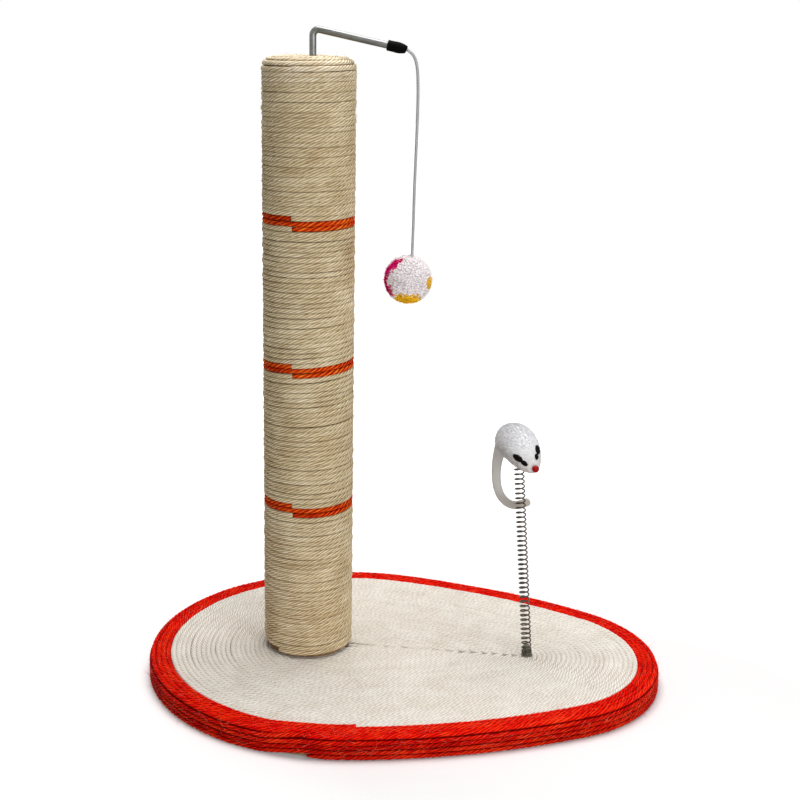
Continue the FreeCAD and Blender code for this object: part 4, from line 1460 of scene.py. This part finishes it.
def mouse_body():
    rings, sides = 60, 56
    rows = smooth_stations(rings)
    angle = 2 * math.pi * np.arange(sides) / sides
    lift = np.cos(angle)
    flatten = np.where(lift < 0, 0.92, 1.0)
    skin = (mouse_middle + mouse_forward * rows[:, None, 0:1]
            + mouse_left * (rows[:, None, 2] * np.sin(angle))[..., None]
            + upwards * (rows[:, None, 1] + rows[:, None, 2] * lift * flatten)[..., None])
    ends = np.stack([mouse_middle + mouse_forward * (rows[0, 0] - 0.9 * mm) + upwards * rows[0, 1],
                     mouse_middle + mouse_forward * (rows[-1, 0] + 0.9 * mm)
                     + upwards * rows[-1, 1]])
    quads, fans = ring_faces(rings, sides)
    mesh = bpy.data.meshes.new("mouse_plush")
    mesh.from_pydata(np.concatenate([skin.reshape(-1, 3), ends]), [],
                     quads[:, ::-1].tolist() + [face[::-1] for face in fans], shade_flat=False)
    return link("mouse_plush", mesh)


# %% The body's finish
def fur_finish(name, light, dark, hair=None):
    finish = Finish(name)
    place = finish.place()
    cloud = finish.noise(place, 70.0, 2.0, 0.5)
    fine = finish.noise(place, 900.0, 3.0, 0.7)
    tone = finish.attribute(hair) if hair else fine
    colour = finish.mix(dark, light, finish.ramp(cloud * 0.35 + tone * 0.65, 0.25, 0.75))
    low = finish.node("ShaderNodeSeparateXYZ", {}, {0: place}, output="Z")
    shaded = finish.mix(colour, linear(232, 228, 224), 1.0, "MULTIPLY")
    colour = finish.mix(shaded, colour, finish.ramp(low, 0.196, 0.212))
    return finish.surface(Base_Color=colour, Roughness=0.85, Specular_IOR_Level=0.15,
                          Subsurface_Weight=0.1, Subsurface_Radius=(0.5, 0.45, 0.45),
                          Subsurface_Scale=1.0 * mm, Normal=finish.bump(fine, 0.15 * mm))


body = mouse_body()
settle(body, fur_finish("plush_ground", linear(230, 230, 231), linear(214, 212, 213)),
       "mouse", "white_plush", "mouse_body")
print("mouse body faces:", len(body.data.polygons))


# %% Fur that lies back from the nose
nose_root = 34.5 * mm
# How long the hair is at some distances ahead of the middle, both in mm.
fur_places, fur_lengths = [-15, 5, 24, 34], [4.0, 4.2, 3.0, 1.4]
fur_count, fur_girths = 9000, (0.1, 0.19)


def mouse_fur(count):
    """Hairs spread over the body by area, leaning away from the nose."""
    mesh = body.data
    mesh.calc_loop_triangles()
    corners = np.array([[mesh.vertices[i].co for i in t.vertices] for t in mesh.loop_triangles])
    areas = np.array([t.area for t in mesh.loop_triangles])
    chosen = dice.choice(len(areas), count, p=areas / areas.sum())
    a, b = dice.uniform(0, 1, (2, count, 1))
    a, b = np.where(a + b > 1, 1 - a, a), np.where(a + b > 1, 1 - b, b)
    tri = corners[chosen]
    roots = tri[:, 0] + (tri[:, 1] - tri[:, 0]) * a + (tri[:, 2] - tri[:, 0]) * b
    normals = unit(np.cross(tri[:, 1] - tri[:, 0], tri[:, 2] - tri[:, 0]))
    away = roots - mouse_middle
    normals *= np.sign(np.sum(normals * away, axis=1, keepdims=True))
    ahead = away @ mouse_forward
    back = -mouse_forward + normals * np.sum(normals * mouse_forward, axis=1, keepdims=True)
    back = back + dice.normal(0, 0.09, (count, 3))
    directions = unit(back) + normals * dice.uniform(0.12, 0.4, (count, 1))
    bends = -normals * 0.2 + dice.normal(0, 0.1, (count, 3))
    lengths = np.interp(ahead / mm, fur_places, fur_lengths) * mm
    lengths *= dice.uniform(0.7, 1.1, count)
    keep = ahead < nose_root
    piece, hair = hairs("mouse_fur", roots[keep] - normals[keep] * 0.1 * mm, directions[keep],
                        bends[keep], lengths[keep], dice.uniform(*fur_girths, keep.sum()) * mm,
                        joints=4)
    add_attribute(piece.data, "hair_tone", "FLOAT", dice.uniform(0, 1, keep.sum())[hair])
    settle(piece, fur_finish("plush_hair", linear(236, 237, 240), linear(206, 206, 210),
                             "hair_tone"), "mouse", "white_plush")
    print("mouse hairs:", int(keep.sum()))


mouse_fur(fur_count)

# %% [markdown]
# The ears and eyes are punched from black flocked foil and glued flat, so each is a low dome that
# follows the head.  They are laid onto the body by casting a small grid of points at it.  The
# nose is a red bead, and the tail is a soft flat band.

# %% Patches laid on the head
skin_tree = BVHTree.FromObject(body, bpy.context.evaluated_depsgraph_get())
ray_start = 0.03
glue_line, sunk = 0.12 * mm, 0.6 * mm


def black_finish():
    finish = Finish("black_flock")
    place = finish.place()
    pile = finish.noise(place * (1.0, 1.0, 3.0), 1500.0, 3.0, 0.8)
    colour = finish.mix(linear(5, 3, 3), linear(30, 22, 17), finish.ramp(pile, 0.5, 0.85))
    return finish.surface(Base_Color=colour, Roughness=0.6, Specular_IOR_Level=0.05,
                          Normal=finish.bump(pile, 0.2 * mm))


def patch_on_head(name, ahead, around, long_radius, wide_radius, turn, thickness, node):
    """A low oval dome on the head at a distance ahead and an angle from the top."""
    row = smooth_stations(200)
    height = np.interp(ahead, row[:, 0], row[:, 1])
    centre = mouse_middle + mouse_forward * ahead + upwards * height
    out = mouse_left * math.sin(around) + upwards * math.cos(around)
    hit, normal = skin_tree.ray_cast(Vector(centre + out * ray_start), Vector(-out))[:2]
    normal = np.array(normal) if normal.dot(Vector(out)) > 0 else -np.array(normal)
    long_way = unit(mouse_forward - normal * (mouse_forward @ normal))
    wide_way = np.cross(normal, long_way)
    long_way, wide_way = (long_way * math.cos(turn) + wide_way * math.sin(turn),
                          wide_way * math.cos(turn) - long_way * math.sin(turn))
    rings, sides = 8, 28
    vertices = []
    for share in np.linspace(1, 0.08, rings):
        for angle in 2 * math.pi * np.arange(sides) / sides:
            spot = (np.array(hit) + long_way * long_radius * share * math.cos(angle)
                    + wide_way * wide_radius * share * math.sin(angle))
            place = skin_tree.find_nearest(Vector(spot))[0]
            rise = thickness * math.sqrt(max(0.0, 1 - share ** 4)) + glue_line
            vertices.append(np.array(place) + normal * rise)
    under = np.array(hit) - normal * sunk
    quads, fans = ring_faces(rings, sides)
    mesh = bpy.data.meshes.new(name)
    crown = np.mean(vertices[-sides:], axis=0)
    mesh.from_pydata(vertices + [under, crown], [], quads.tolist() + fans, shade_flat=False)
    settle(link(name, mesh), black_flock, "mouse", "black_flock", node)


# %% Four black marks
black_flock = black_finish()
# Each mark: ahead, angle from the top, long and wide radius, turn and thickness, in mm and
# degrees.
marks = [("ear_left", 26.2, 41, 4.5, 3.0, 14.0, 1.5),
         ("ear_right", 25.0, -78, 5.0, 2.7, -20.0, 1.4),
         ("eye_left", 30.6, 27, 2.8, 1.9, 10.0, 1.3),
         ("eye_right", 29.8, -77, 3.6, 2.0, -18.0, 1.2)]
for name, ahead, around, long_radius, wide_radius, turn, thickness in marks:
    patch_on_head("mouse_%s_flock" % name, ahead * mm, math.radians(around), long_radius * mm,
                  wide_radius * mm, math.radians(turn), thickness * mm, "mouse_" + name)


# %% Finishes of the nose and the tail
def bead_finish():
    finish = Finish("red_bead")
    tone = finish.noise(finish.place(), 600.0, 2.0)
    colour = finish.mix(linear(128, 0, 4), linear(152, 2, 8), finish.ramp(tone, 0.3, 0.7))
    return finish.surface(Base_Color=colour, Roughness=0.4, Specular_IOR_Level=0.1,
                          Normal=finish.bump(tone, 0.03 * mm, 0.4))


def tail_finish():
    finish = Finish("tail_suede")
    place = finish.place()
    nap = finish.noise(place, 900.0, 3.0, 0.7)
    cloud = finish.noise(place, 80.0, 2.0)
    colour = finish.mix(linear(182, 181, 178), linear(197, 196, 192),
                        finish.ramp(nap * 0.5 + cloud * 0.5, 0.35, 0.65))
    low = finish.node("ShaderNodeSeparateXYZ", {}, {0: place}, output="Z")
    # The tail is darker and warmer towards the bottom.
    lower_tint = finish.mix(colour, linear(236, 230, 224), 1.0, "MULTIPLY")
    colour = finish.mix(lower_tint, colour, finish.ramp(low, 0.156, 0.172))
    return finish.surface(Base_Color=colour, Roughness=0.8, Specular_IOR_Level=0.15,
                          Subsurface_Weight=0.1, Subsurface_Radius=(0.6, 0.5, 0.4),
                          Subsurface_Scale=1.0 * mm, Normal=finish.bump(nap, 0.12 * mm))


# %% The tail
tail_step, tail_half_width = 0.8 * mm, 3.2 * mm
root_swell, root_reach = 0.46, 20 * mm


def mouse_tail():
    """A flat band that hangs from the rump and curls forward beside the spring."""
    route = np.array([(-9.8, 8.6, -4.0), (-12.2, 8.6, -14.5), (-13.8, 8.2, -27.0),
                      (-13.2, 7.8, -41.0), (-8.8, 7.6, -53.0), (0.2, 7.4, -59.6),
                      (9.4, 7.4, -58.0), (16.2, 7.4, -54.5)]) * mm
    line = spline_points("tail_line", [Vector(mouse_middle + offset) for offset in route])
    line = even_steps(np.array(line), everywhere(base_width, len(line)), tail_step)[0]
    along = np.linspace(0, 1, len(line))
    run = along * len(line) * tail_step
    last = (run[-1] - run) / tail_half_width
    taper = np.sqrt(np.clip(1 - (1 - np.clip(last, 0, 1)) ** 2, 0.02, 1))
    taper *= 1.16 + root_swell * np.exp(-(run / root_reach) ** 2)
    piece = tube_mesh("mouse_tail_band", line, tail_half_width, 20,
                      everywhere(base_width, len(line)), squeeze=0.5, taper=taper)
    settle(piece, tail_finish(), "mouse", "grey_suede", "mouse_tail")


mouse_tail()
node_finish(bead_finish(), "mouse_nose")
node_finish(plastic_finish("cup_plastic", linear(224, 224, 220), linear(200, 200, 196), 0.4),
            "mouse_cup")
